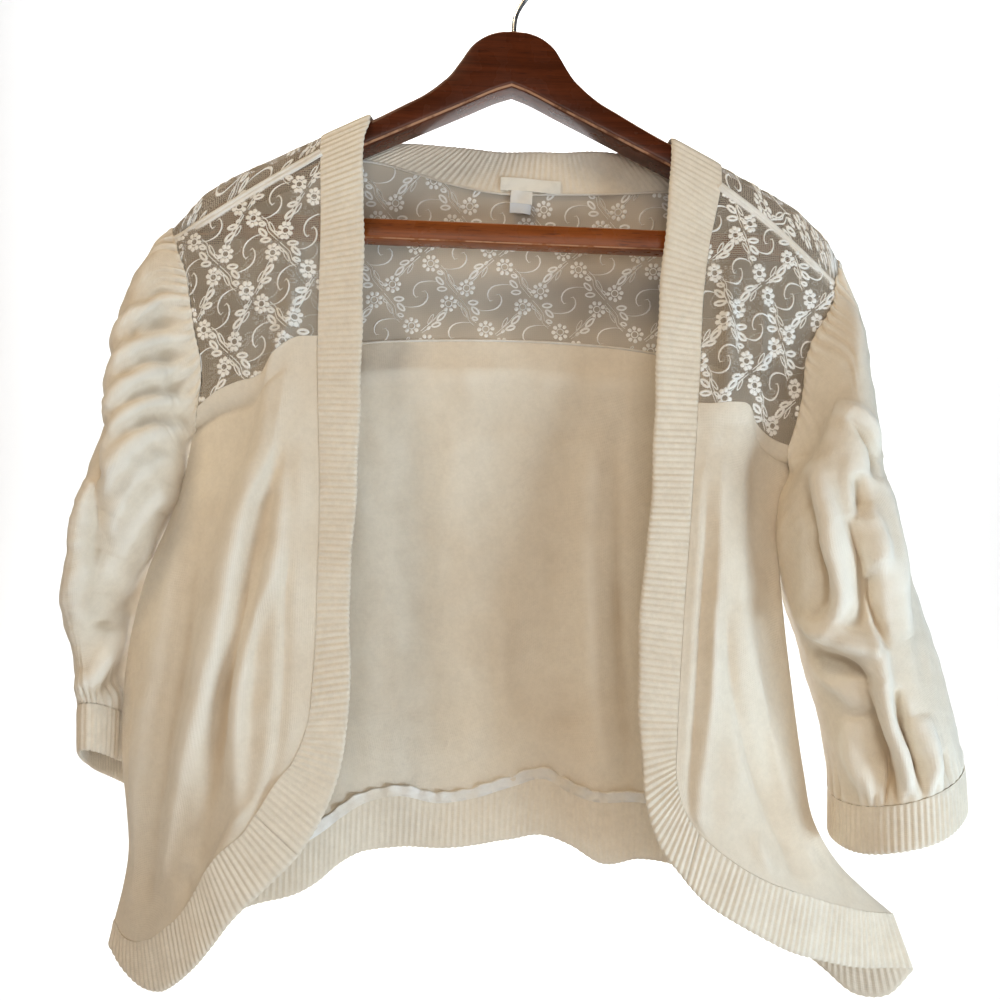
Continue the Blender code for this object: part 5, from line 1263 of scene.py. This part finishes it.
def wood_group():
    """Varnished wood: long streaks of grain along X, fine dark pores, and paler rounded edges, partly worn
    varnish and partly painted highlight.
    """
    made, given, out = group(
        "varnished_wood", [("Place", "vector", None), ("Dark", "colour", None), ("Light", "colour", None),
                           ("Wear", "value", 0.0)],
        [("Colour", "colour"), ("Roughness", "value"), ("Height", "value")])
    place = given.outputs["Place"]
    streaks = noise(made, place, 5, 5, 0.6, (1.0, 26.0, 30.0))
    fine = noise(made, place, 12, 4, 0.7, (2.0, 60.0, 70.0))
    pores = noise(made, place, 30, 2, 0.5, (2.5, 40.0, 40.0))
    share = between(made, sums(made, "ADD", sums(made, "MULTIPLY", streaks, 0.65),
                               sums(made, "MULTIPLY", fine, 0.35)), 0.36, 0.66, 0, 1)
    tone = blend(made, share, given.outputs["Dark"], given.outputs["Light"])
    tone = blend(made, between(made, pores, 0.60, 0.72, 0, 0.5), tone, WOOD_PORES)
    # Paler rounded edges: partly worn varnish, partly painted highlight.
    worn_highlight = sums(made, "MULTIPLY", between(made, given.outputs["Wear"], 0.5, 1.0, 0, 1),
                  between(made, noise(made, place, 75, 3, 0.7), 0.36, 0.52, 0.25, 1.0))
    tone = blend(made, worn_highlight, tone, WOOD_WORN_HIGHLIGHT)
    fill(made, out, {
        "Colour": tone, "Roughness": between(made, noise(made, place, 40, 3, 0.6), 0.3, 0.7, 0.20, 0.36),
        "Height": sums(made, "ADD", sums(made, "MULTIPLY", fine, 0.7), pores)})
    return made


def finish_of(name, build):
    """A material, made once: build gets its node tree and shader."""
    made = bpy.data.materials.get(f"{name}_finish")
    if made is None:
        made = bpy.data.materials.new(f"{name}_finish")
        made.use_nodes = True
        build(made.node_tree, made.node_tree.nodes["Principled BSDF"])
    return made


def grouped(tree, name, builder, inputs):
    """A shared node group placed in a material with its own values."""
    shared = bpy.data.node_groups.get(name) or builder()
    return node(tree, "Group", inputs, node_tree=shared).outputs


def dress(tree, shader, outputs, bump, depth):
    """Links a group's colour, roughness and height to the shader."""
    relief = node(tree, "Bump", {"Height": outputs["Height"], "Strength": bump, "Distance": depth})
    fill(tree, shader, {"Base Color": outputs["Colour"], "Roughness": outputs["Roughness"],
                        "Normal": relief.outputs[0]})


def knit(name):
    """A knit cloth's material, from its row in KNITS."""
    look = bpy.context.scene.cardigan
    light, shade, dimmed, stitches, mottle, bump = KNITS[name]
    light, shade = getattr(look, light), [c * dimmed for c in getattr(look, shade)]

    def build(tree, shader):
        outputs = grouped(tree, "knit", knit_group, {
            "Place": node(tree, "TexCoord").outputs["Object"],
            "Cloth": node(tree, "UVMap", uv_map="cloth").outputs[0],
            "Light": (*light, 1), "Shade": (*shade, 1), "Stitches": stitches, "Mottle": mottle,
            # How far the cloth lies below its surroundings, for painted shade in hollows and painted
            # highlight on ridges.
            "Hollow": node(tree, "Attribute", attribute_name="hollow").outputs["Fac"]})
        dress(tree, shader, outputs, bump, 0.0006)
        fill(tree, shader, {"Sheen Weight": 0.25, "Sheen Roughness": 0.5, "Specular IOR Level": 0.2})
    return finish_of(name, build)


def net_material(name, shade_fill_behind, thread_at, tone_scale):
    """The lace's net: threads between scattered points, with cells that are nearly clear.

    Behind the arms a cell's middle is as solid as the second argument says; at the back it is near solid,
    painted shade for the dark seen through the open net.
    """
    look = bpy.context.scene.cardigan

    def build(tree, shader):
        cloth = node(tree, "UVMap", uv_map="cloth").outputs[0]
        cells = node(tree, "TexVoronoi", {"Vector": cloth, "Scale": 1 / look.net_cell, "Randomness": 0.45},
                     feature="DISTANCE_TO_EDGE", voronoi_dimensions="2D").outputs["Distance"]
        place = node(tree, "TexCoord").outputs["Object"]
        uneven = noise(tree, place, 60, 3, 0.6)
        depth = node(tree, "SeparateXYZ", {0: place}).outputs[1]
        edge_at = between(tree, uneven, 0.3, 0.7, thread_at, thread_at * 1.6)
        # Behind the arms the cells fill toward solid: at the back, painted shade for the dark seen through
        # the net.
        solid = node(tree, "MapRange", {
            "Value": cells, "From Min": edge_at, "From Max": sums(tree, "ADD", edge_at, 0.09), "To Min": 1.0,
            "To Max": between(tree, depth, *NET_DEPTHS, NET_OVER_ARMS, shade_fill_behind)}).outputs[0]
        tone = blend(tree, between(tree, noise(tree, place, 25, 2), 0.35, 0.65, 0, 1),
                     (*[c * tone_scale for c in look.lace_net], 1),
                     (*[c * tone_scale * 0.84 for c in look.lace_net], 1))
        fill(tree, shader, {"Base Color": tone, "Alpha": solid,
                            "Roughness": between(tree, uneven, 0.3, 0.7, 0.7, 0.9)})
    return finish_of(name, build)


def wood_material(name, dark, light):
    """Varnished wood with paler rounded edges, partly worn varnish and partly painted highlight, read from
    the piece's attribute.
    """
    def build(tree, shader):
        outputs = grouped(tree, "varnished_wood", wood_group, {
            "Place": node(tree, "TexCoord").outputs["Object"], "Dark": (*dark, 1), "Light": (*light, 1),
            # Attribute of the rounded edges: partly worn varnish, partly painted highlight.
            "Wear": node(tree, "Attribute", attribute_name="wear").outputs["Fac"]})
        dress(tree, shader, outputs, 0.12, 0.0004)
        fill(tree, shader, {"Specular IOR Level": 0.15, "Coat Weight": 0.25, "Coat Roughness": 0.14})
    return finish_of(name, build)


def steel_material():
    """Bright plated wire, uneven with a little tarnish."""
    def build(tree, shader):
        place = node(tree, "TexCoord").outputs["Object"]
        tarnish = noise(tree, place, 90, 4, 0.6)
        tone = blend(tree, between(tree, tarnish, 0.4, 0.7, 0, 1), STEEL_BRIGHT, STEEL_DULL)
        fill(tree, shader, {"Base Color": tone, "Metallic": 1.0,
                            "Roughness": between(tree, tarnish, 0.35, 0.7, 0.2, 0.4)})
    return finish_of("hook_wire", build)


def label_material(name, colour):
    """Woven label: fine crossed satin lines over a pale, slightly soiled ground."""
    def build(tree, shader):
        cloth = node(tree, "UVMap", uv_map="cloth").outputs[0]
        split = node(tree, "SeparateXYZ", {0: cloth})
        lines = sums(tree, "SINE", sums(tree, "MULTIPLY", split.outputs[1], 2 * math.pi / 0.0006))
        cross = sums(tree, "SINE", sums(tree, "MULTIPLY", split.outputs[0], 2 * math.pi / 0.0009))
        weave = sums(tree, "MULTIPLY_ADD", lines, cross, 0.5)
        soil = noise(tree, node(tree, "TexCoord").outputs["Object"], 120, 3, 0.6)
        tone = blend(tree, between(tree, soil, 0.4, 0.7, 0, 0.35), (*colour, 1),
                     (*[c * 0.75 for c in colour], 1))
        dress(tree, shader, {"Colour": tone, "Roughness": between(tree, weave, 0, 1, 0.38, 0.6),
                             "Height": weave}, 0.3, 0.0002)
    return finish_of(name, build)


def bead(name, line, facing, side, section):
    """A strip sewn along a seam: a flat section set out along two directions at each place."""
    section = np.array(section, float)
    loops = (line[:, None] + side[:, None] * section[None, :, :1]
             + facing[:, None] * section[None, :, 1:])
    uv = spread(distances(line)[:, None], np.linspace(0, 8, len(section))[None])
    return swept(name, loops, knit("seam_thread"), uv=uv, crisp=55)


class CardiganSizes(bpy.types.PropertyGroup):
    """Sizes and colours of the cardigan and its hanger."""

    cloth_light: bpy.props.FloatVectorProperty(
        name="Cloth, light", description="Knit where it is palest", subtype="COLOR", size=3,
        default=(0.84, 0.755, 0.62), min=0, max=1)
    cloth_shade: bpy.props.FloatVectorProperty(
        name="Cloth, warm", description="Knit where it is warmest", subtype="COLOR", size=3,
        default=(0.80, 0.70, 0.56), min=0, max=1)
    lace_thread: bpy.props.FloatVectorProperty(
        name="Lace thread", description="Flowers, leaves and stems of the lace", subtype="COLOR", size=3,
        default=(0.96, 0.93, 0.87), min=0, max=1)
    lace_net: bpy.props.FloatVectorProperty(
        name="Lace net", description="Net between the lace's flowers", subtype="COLOR", size=3,
        default=(0.42, 0.36, 0.285), min=0, max=1)
    wood: bpy.props.FloatVectorProperty(
        name="Hanger wood", description="Varnished wood of the hanger's arms", subtype="COLOR", size=3,
        default=(0.115, 0.025, 0.007), min=0, max=1)
    bar_wood: bpy.props.FloatVectorProperty(
        name="Bar wood", description="Paler wood of the hanger's bar", subtype="COLOR", size=3,
        default=(0.29, 0.072, 0.012), min=0, max=1)
    rib_height: bpy.props.FloatProperty(
        name="Rib height", description="How far the ribs of the bands stand up", unit="LENGTH",
        default=RIB_HEIGHT * MM, min=0, max=0.002)
    gather_height: bpy.props.FloatProperty(
        name="Gather height", description="Height of the gathers at the sleeves' heads and cuffs",
        unit="LENGTH", default=0.0019, min=0, max=0.004)
    net_cell: bpy.props.FloatProperty(
        name="Net cell", description="Width of one cell of the lace's net", unit="LENGTH",
        default=0.0013, min=0.0005, max=0.004)
    fold_depth: bpy.props.FloatProperty(
        name="Fold depth", description="Share of the hand-laid creases' heights", subtype="FACTOR",
        default=1.35, min=0, max=1.5)


class CARDIGAN_OT_hanger(bpy.types.Operator):
    """Builds the wooden hanger, its bar and its hook"""

    bl_idname = "cardigan.hanger"
    bl_label = "Hanger"

    def execute(self, context):
        look = context.scene.cardigan
        dark = tuple(c * 0.5 for c in look.wood)
        arms = wood_material("hanger_wood", dark, tuple(look.wood))
        x = np.concatenate([np.linspace(0, 60, 42), np.linspace(63, 187.8, 48), [188.15],
                            np.linspace(190, 200, 8), [201.5, 202.8, 203.6, 204]])
        x = np.concatenate([-x[:0:-1], x])
        top = np.array(HANGER_TOP, float)
        high = hermite(top[:, 1:], top[:, 0], np.abs(x))[:, 0]
        under = np.array([spot for spot in HANGER_BOTTOM[::-1] if spot[0] <= BAR_HALF_LENGTH], float)
        foot = np.where(np.abs(x) < BAR_HALF_LENGTH, hermite(under[:, 1:], under[:, 0], np.abs(x))[:, 0],
                        np.interp(np.abs(x), *np.transpose(HANGER_TIP)))
        high = np.maximum(high, foot + 0.8)
        half_y = WOOD_HALF * np.clip((204.4 - np.abs(x)) / 3.5, 0.2, 1) ** 0.4
        self.rod("hanger_arms", x, high, foot, half_y, ARM_ROUND, arms, "hanger_wood", "hanger_body")
        bar = wood_material("bar_wood", tuple(c * 0.62 for c in look.bar_wood), tuple(look.bar_wood))
        x = np.linspace(-BAR_HALF_LENGTH, BAR_HALF_LENGTH, 60)
        flat = np.ones(len(x))
        self.rod("hanger_cross_bar", x, BAR_TOP * flat, BAR_BOTTOM * flat, BAR_HALF_Y * flat, BAR_ROUND,
                 bar, "bar_wood", "hanger_bar")
        turn = np.radians(np.linspace(-58, 200, 80))
        crook = np.stack([HOOK_RADIUS * np.cos(turn),
                          WIRE_RADIUS - HOOK_RADIUS + HOOK_RADIUS * np.sin(turn)], axis=1)
        bend = hermite(np.array([*STEM_BEND, crook[0]], float), np.arange(6.0), np.linspace(0, 5, 24))
        path = np.concatenate([[(0, STEM_BOTTOM), (0, -80), (0, -71)], bend, crook[1:]])
        path = np.stack([path[:, 0], np.zeros(len(path)), path[:, 1]], axis=1)
        ahead = unit(np.gradient(path, axis=0))
        side = np.cross(ahead, [0, 1, 0])
        size = np.full(len(path), WIRE_RADIUS)
        size[-3:] *= (0.97, 0.8, 0.35)
        round_about = np.linspace(0, 2 * math.pi, 17)[:-1]
        loops = path[:, None] + size[:, None, None] * (
            side[:, None] * np.cos(round_about)[None, :, None]
            + np.array([0, 1.0, 0]) * np.sin(round_about)[None, :, None])
        hook = swept("hook_wire", loops, steel_material())
        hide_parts("hanger_hook")
        return {"FINISHED"}

    def rod(self, name, x, top, foot, half_y, radius, finish, slot, node_name):
        """Wood along X: a rectangle with rounded corners at each station, and a mark at its corners for
        paler edges, partly worn varnish and partly painted highlight.
        """
        corner = np.linspace(0, math.pi / 2, 6)
        radius = np.minimum(radius, np.minimum(half_y, (top - foot) / 2) * 0.95)[:, None]
        loops, wear = [], []
        for sy, sz, start in ((1, 1, 0), (-1, 1, 1), (-1, -1, 2), (1, -1, 3)):
            a = corner + start * math.pi / 2
            middle_z = np.where(sz > 0, top[:, None] - radius, foot[:, None] + radius)
            y = sy * (half_y[:, None] - radius) + radius * np.cos(a)
            loops.append(spread(x[:, None], y, middle_z + radius * np.sin(a)))
            # Mark strongest mid-corner: paler edges, partly worn varnish, partly painted highlight.
            wear.append(np.broadcast_to(np.sin(2 * corner) ** 2, y.shape))
        loops, wear = np.concatenate(loops, axis=1), np.concatenate(wear, axis=1)
        made = swept(name, loops, finish, crisp=40, marks={"wear": wear})
        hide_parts(node_name)


class CARDIGAN_OT_body(bpy.types.Operator):
    """Builds the plain jersey fronts and back"""

    bl_idname = "cardigan.body"
    bl_label = "Fronts and back"

    def execute(self, context):
        cloth = cut()
        for side in ("right", "left"):
            grid, out = cloth[side][2:]
            made = shell(f"front_{side}_cloth", ease(grid, out), quads_of(*grid.shape[:2]), out, JERSEY,
                         knit("jersey_knit"), "jersey", lengths(grid)[0])
            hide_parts(f"front_panel_{side}")
        grid, out = cloth["back"]
        made = shell("back_cloth", ease(grid, out), quads_of(*grid.shape[:2]), out, JERSEY,
                     knit("jersey_knit"), "jersey", lengths(grid)[0])
        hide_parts("back_panel")
        return {"FINISHED"}


class CARDIGAN_OT_yokes(bpy.types.Operator):
    """Builds the lace yokes: their net, flowers, leaves and stems"""

    bl_idname = "cardigan.yokes"
    bl_label = "Lace yokes"

    def execute(self, context):
        cloth = cut()
        kinds = dict(zip(("flowers", "leaves"), zip(motifs(False), motifs(True))))
        net, thread_finish = net_material(*FRONT_NET), knit("lace_thread")
        for side in ("right", "left"):
            grid, out = cloth[side][:2]
            plan = grid[..., [0, 2]]
            made = shell(f"front_yoke_{side}_net", ease(grid, out), quads_of(*grid.shape[:2]), out, NET,
                         net, "lace", plan)
            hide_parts(f"front_yoke_{side}")
            motif = [lace(f"front_yoke_{side}_{kind}", [(grid, out, plan)], elements, thread_finish,
                          LATTICES[side]) for kind, elements in kinds.items()]
        points, out, index, plan = (cloth[k] for k in ("points", "out", "index", "plan"))
        made = shell("back_yoke_net", points, cloth["quads"], out, NET, net_material(*BACK_NET), "lace",
                     plan)
        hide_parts("back_yoke")
        parts = [(points[at], out[at], plan[at]) for at in index.values()]
        motif = [lace(f"back_yoke_{kind}", parts, elements, thread_finish, LATTICES["back"])
                 for kind, elements in kinds.items()]
        return {"FINISHED"}


class CARDIGAN_OT_bands(bpy.types.Operator):
    """Builds the ribbed bands of the neck, fronts and hem"""

    bl_idname = "cardigan.bands"
    bl_label = "Rib bands"

    def execute(self, context):
        cloth = cut()
        points, out, index, neck = (cloth[k] for k in ("points", "out", "index", "neck"))
        grid, facing = cloth["back"]
        made = rib_band("neck_band_rib", NECK_BAND, RIB_PITCH, -1, (points[neck], out[neck]))
        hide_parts("neck_band")
        made = rib_band("hem_band_back_rib", HEM_BAND_BACK, RIB_PITCH, 1, (grid[-1], facing[-1]))
        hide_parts("hem_band_back")
        for side, sign, bands, cap, seam_x, opening_x in zip(
            ("right", "left"), (1, -1),
            ((FRONT_BAND_RIGHT, HEM_BAND_RIGHT), (FRONT_BAND_LEFT, HEM_BAND_LEFT)),
            (index["right"][::-1, -1], index["left"][::-1, 0]), FRONT_SEAM_X, FRONT_OPENING_X,
        ):
            yoke, yoke_out, body, body_out = cloth[side]
            line = np.concatenate([points[cap], yoke[1:, 0], body[1:, 0], body[-1, 1:]])
            facing = np.concatenate([out[cap], yoke_out[1:, 0], body_out[1:, 0], body_out[-1, 1:]])
            made = rib_band(f"front_band_{side}_rib", over_arm(seam_x, opening_x, bands[0]), RIB_PITCH,
                            sign, (line, facing), OVER_ARM_RIBS)
            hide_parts(f"front_band_{side}")
            made = rib_band(f"hem_band_{side}_rib", bands[1], RIB_PITCH, sign, (line, facing))
            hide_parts(f"hem_band_{side}")
        return {"FINISHED"}


class CARDIGAN_OT_sleeves(bpy.types.Operator):
    """Builds the gathered sleeves and their ribbed cuffs"""

    bl_idname = "cardigan.sleeves"
    bl_label = "Sleeves and cuffs"

    def execute(self, context):
        cloth = cut()
        for side, sign, tip, front_edge, under, back_edge, table, cuff, folds, cord, creases in (
            ("right", -1, TIP_RIGHT, ARMHOLE_FRONT_RIGHT, UNDERARM_RIGHT, ARMHOLE_BACK_RIGHT,
             SLEEVE_RIGHT, CUFF_RIGHT, SLEEVE_FOLDS_RIGHT, CORDS["right"], CREASES_SLEEVE_RIGHT),
            ("left", 1, TIP_LEFT, ARMHOLE_FRONT_LEFT, UNDERARM_LEFT, ARMHOLE_BACK_LEFT,
             SLEEVE_LEFT, CUFF_LEFT, SLEEVE_FOLDS_LEFT, CORDS["left"], CREASES_SLEEVE_LEFT),
        ):
            tip = edge(tip)
            middle = int(np.argmax(tip[:, 2]))
            front_half = np.concatenate([tip[:middle + 1][::-1], edge(front_edge, under)[1:]])
            back_half = np.concatenate([edge(cloth["under"][side])[::-1], edge(back_edge)[::-1][1:],
                                        tip[middle:][::-1][1:]])
            rings = [armhole_ring(front_half, back_half, sign, SLEEVE_COLUMNS)]
            rings += [ring_points(row, SLEEVE_COLUMNS) for row in table]
            made, wrist = sleeve(side, sign, rings, folds, *cord, creases)
            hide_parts(f"sleeve_{side}")
            loops = [ring_points(row, 120) for row in cuff]
            loops = [np.concatenate([loop, loop[:1]]) for loop in loops]
            made = rib_band(f"cuff_{side}_rib", np.concatenate(loops, axis=1), CUFF_PITCH, sign, wrist,
                            ring=True)
            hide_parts(f"cuff_{side}")
        return {"FINISHED"}


class CARDIGAN_OT_trims(bpy.types.Operator):
    """Builds the shoulder strips, the seams' inner edges and the bare labels"""

    bl_idname = "cardigan.trims"
    bl_label = "Seams and labels"

    def execute(self, context):
        cloth = cut()
        points, out, index = (cloth[k] for k in ("points", "out", "index"))
        for side in ("right", "left"):
            yoke, yoke_out = cloth[side][:2]
            line = even(yoke[0], 90)
            facing = unit(hermite(yoke_out[0], np.linspace(0, 1, FRONT_COLUMNS), np.linspace(0, 1, 90)))
            down = unit(np.cross(facing, np.gradient(line, axis=0)))
            down *= np.sign(-down[:, 2:])
            made = bead(f"shoulder_strip_{side}", line, facing, down, SHOULDER_STRIP)
        grid, facing = cloth["back"]
        line, inward = even(grid[-1], 420)[6:-6], -even(facing[-1], 420)[6:-6]
        inward = unit(inward * [1, 1, 0.3])
        up = -across_edge(line, line - [0, 0, 5], inward)
        place = np.linspace(0, 1, len(line))[:, None]
        wave = (np.sin(place * 2 * math.pi * 41 + 2 * np.sin(place * 19)) * 0.8
                + 0.5 * np.sin(place * 2 * math.pi * 17 + 1))
        section = np.array(SERGED, float)
        share = np.clip(section[None, :, :1] / 6.5, 0, 1)
        loops = (line[:, None] + up[:, None] * section[None, :, :1] * (1 + 0.10 * wave[:, :, None])
                 + inward[:, None] * (section[None, :, 1:] + share * (1.0 + 1.5 * wave[:, :, None])))
        hem_edge = swept("hem_seam_edge", loops, knit("seam_thread"), crisp=70,
                         uv=spread(place * 560, section[None, :, 0]))
        for name, at, place_in in (("back_yoke_seam", index["main"][-1], 0.9),
                                   ("neck_seam", cloth["neck"], 1.4)):
            line, facing = even(points[at], 220), -even(out[at], 220)
            down = across_edge(line, line - [0, 0, 5], facing)
            bead(name, line + facing * place_in, facing, down, SEAM_BEAD)
        self.labels()
        return {"FINISHED"}

    def labels(self):
        """Small sheets that follow the inside of the neck band, bowed a little off it between their ends."""
        line = smooth(NECK_BAND, 200)
        for name, left, right, top, foot, lift, bow, colour, nodes in (
            ("woven_label", -5, 36, -158.5, -167.5, 2.0, 0.7, (0.86, 0.82, 0.72), ["neck_label"]),
            ("size_tag_cloth", 2.5, 17, -167.2, -176, 2.5, -0.3, (0.85, 0.82, 0.75), ["size_tag"]),
            ("care_tag_cloth", 2, 16.2, -168.5, -182.8, 1.6, 0.9, (0.72, 0.76, 0.80), []),
        ):
            x, z = np.linspace(left, right, 30), np.linspace(top, foot, 14)
            across, down = np.linspace(0, 1, 30)[None], np.linspace(0, 1, 14)[:, None]
            seam = np.interp(x, line[:, 0], line[:, 1])[None]
            slope = np.interp(x, [-5, 36], [0, -1.2])[None]
            y = (seam - lift - bow * np.sin(math.pi * across) * (0.4 + 0.6 * down)
                 - 0.25 * np.sin(7 * across + 3 * down))
            grid = spread(x[None], y, z[:, None] + slope + 0.25 * np.sin(5 * across))
            made = shell(name, grid, quads_of(14, 30), outward(grid, -1), LABEL,
                         label_material(name, colour), "label_cloth", lengths(grid)[0])
            if nodes:
                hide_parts(*nodes)


class CARDIGAN_OT_stage(bpy.types.Operator):
    """Builds the pale backdrop, the dim world that the camera sees pale, the lights and the camera"""

    bl_idname = "cardigan.stage"
    bl_label = "Backdrop, lights and camera"

    def execute(self, context):
        turn = np.linspace(0, math.pi / 2, 12)
        cove = np.stack([WALL_Y + COVE * (np.sin(turn) - 1), FLOOR_Z + COVE * (1 - np.cos(turn))], axis=1)
        profile = np.concatenate([[(FLOOR_FRONT, FLOOR_Z)], cove, [(WALL_Y, WALL_TOP)]])
        x = np.array([-5000.0, 5000.0])
        grid = spread(x[None], profile[:, :1], profile[:, 1:])
        mesh = bpy.data.meshes.new("backdrop")
        mesh.from_pydata((grid.reshape(-1, 3) * MM).tolist(), [], quads_of(len(profile), 2).tolist())
        mesh.polygons.foreach_set("use_smooth", np.ones(len(mesh.polygons), bool))
        backdrop = bpy.data.objects.new("backdrop", mesh)
        context.scene.collection.objects.link(backdrop)

        def build(tree, shader):
            soft = noise(tree, node(tree, "TexCoord").outputs["Object"], 1.2, 2)
            fill(tree, shader, {"Base Color": blend(tree, soft, PAPER_LOW, PAPER_HIGH), "Roughness": 0.9})
        mesh.materials.append(finish_of("backdrop_paper", build))
        world = bpy.data.worlds.new("studio")
        world.use_nodes = True
        tree = world.node_tree
        seen = node(tree, "LightPath").outputs["Is Camera Ray"]
        fill(tree, tree.nodes["Background"],
             {0: SKY, 1: between(tree, seen, 0, 1, WORLD_LIGHT, WORLD_SEEN)})
        context.scene.world = world
        for name, at, aim, size, power, colour in LIGHTS:
            data = bpy.data.lights.new(name, "AREA")
            data.size, data.energy, data.color = size, power, colour
            lamp = bpy.data.objects.new(name, data)
            lamp.location = at
            lamp.rotation_euler = (Vector(aim) - Vector(at)).to_track_quat("-Z", "Y").to_euler()
            context.scene.collection.objects.link(lamp)
        data = bpy.data.cameras.new("camera")
        data.lens, data.sensor_width, data.clip_start = CAMERA_LENS, 36.0, 0.01
        camera = bpy.data.objects.new("camera", data)
        pitch, roll = math.radians(CAMERA_PITCH), math.radians(CAMERA_ROLL)
        camera.matrix_world = (Matrix.Translation(CAMERA_AT) @ Matrix.Rotation(math.pi / 2 + pitch, 4, "X")
                               @ Matrix.Rotation(roll, 4, "Z"))
        context.scene.collection.objects.link(camera)
        context.scene.camera = camera
        context.scene.view_settings.view_transform = "Standard"
        return {"FINISHED"}


class CARDIGAN_PT_pieces(bpy.types.Panel):
    """Lists the cardigan's sizes, colours and pieces"""

    bl_label = "Cardigan on a hanger"
    bl_idname = "CARDIGAN_PT_pieces"
    bl_space_type = "VIEW_3D"
    bl_region_type = "UI"
    bl_category = "Cardigan"

    def draw(self, context):
        look = context.scene.cardigan
        for name in look.bl_rna.properties.keys():
            if name not in ("rna_type", "name"):
                self.layout.prop(look, name)
        for operator in OPERATORS:
            self.layout.operator(operator.bl_idname)


OPERATORS = (CARDIGAN_OT_hanger, CARDIGAN_OT_body, CARDIGAN_OT_yokes, CARDIGAN_OT_bands,
             CARDIGAN_OT_sleeves, CARDIGAN_OT_trims, CARDIGAN_OT_stage)
CLASSES = (CardiganSizes, *OPERATORS, CARDIGAN_PT_pieces)


def register():
    for made in CLASSES:
        bpy.utils.register_class(made)
    bpy.types.Scene.cardigan = bpy.props.PointerProperty(type=CardiganSizes)


def unregister():
    del bpy.types.Scene.cardigan
    for made in reversed(CLASSES):
        bpy.utils.unregister_class(made)


def main():
    """Makes every piece in order."""
    register()
    bpy.ops.cardigan.hanger()
    bpy.ops.cardigan.body()
    bpy.ops.cardigan.yokes()
    bpy.ops.cardigan.bands()
    bpy.ops.cardigan.sleeves()
    bpy.ops.cardigan.trims()
    bpy.ops.cardigan.stage()
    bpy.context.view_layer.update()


if __name__ == "__main__":
    main()
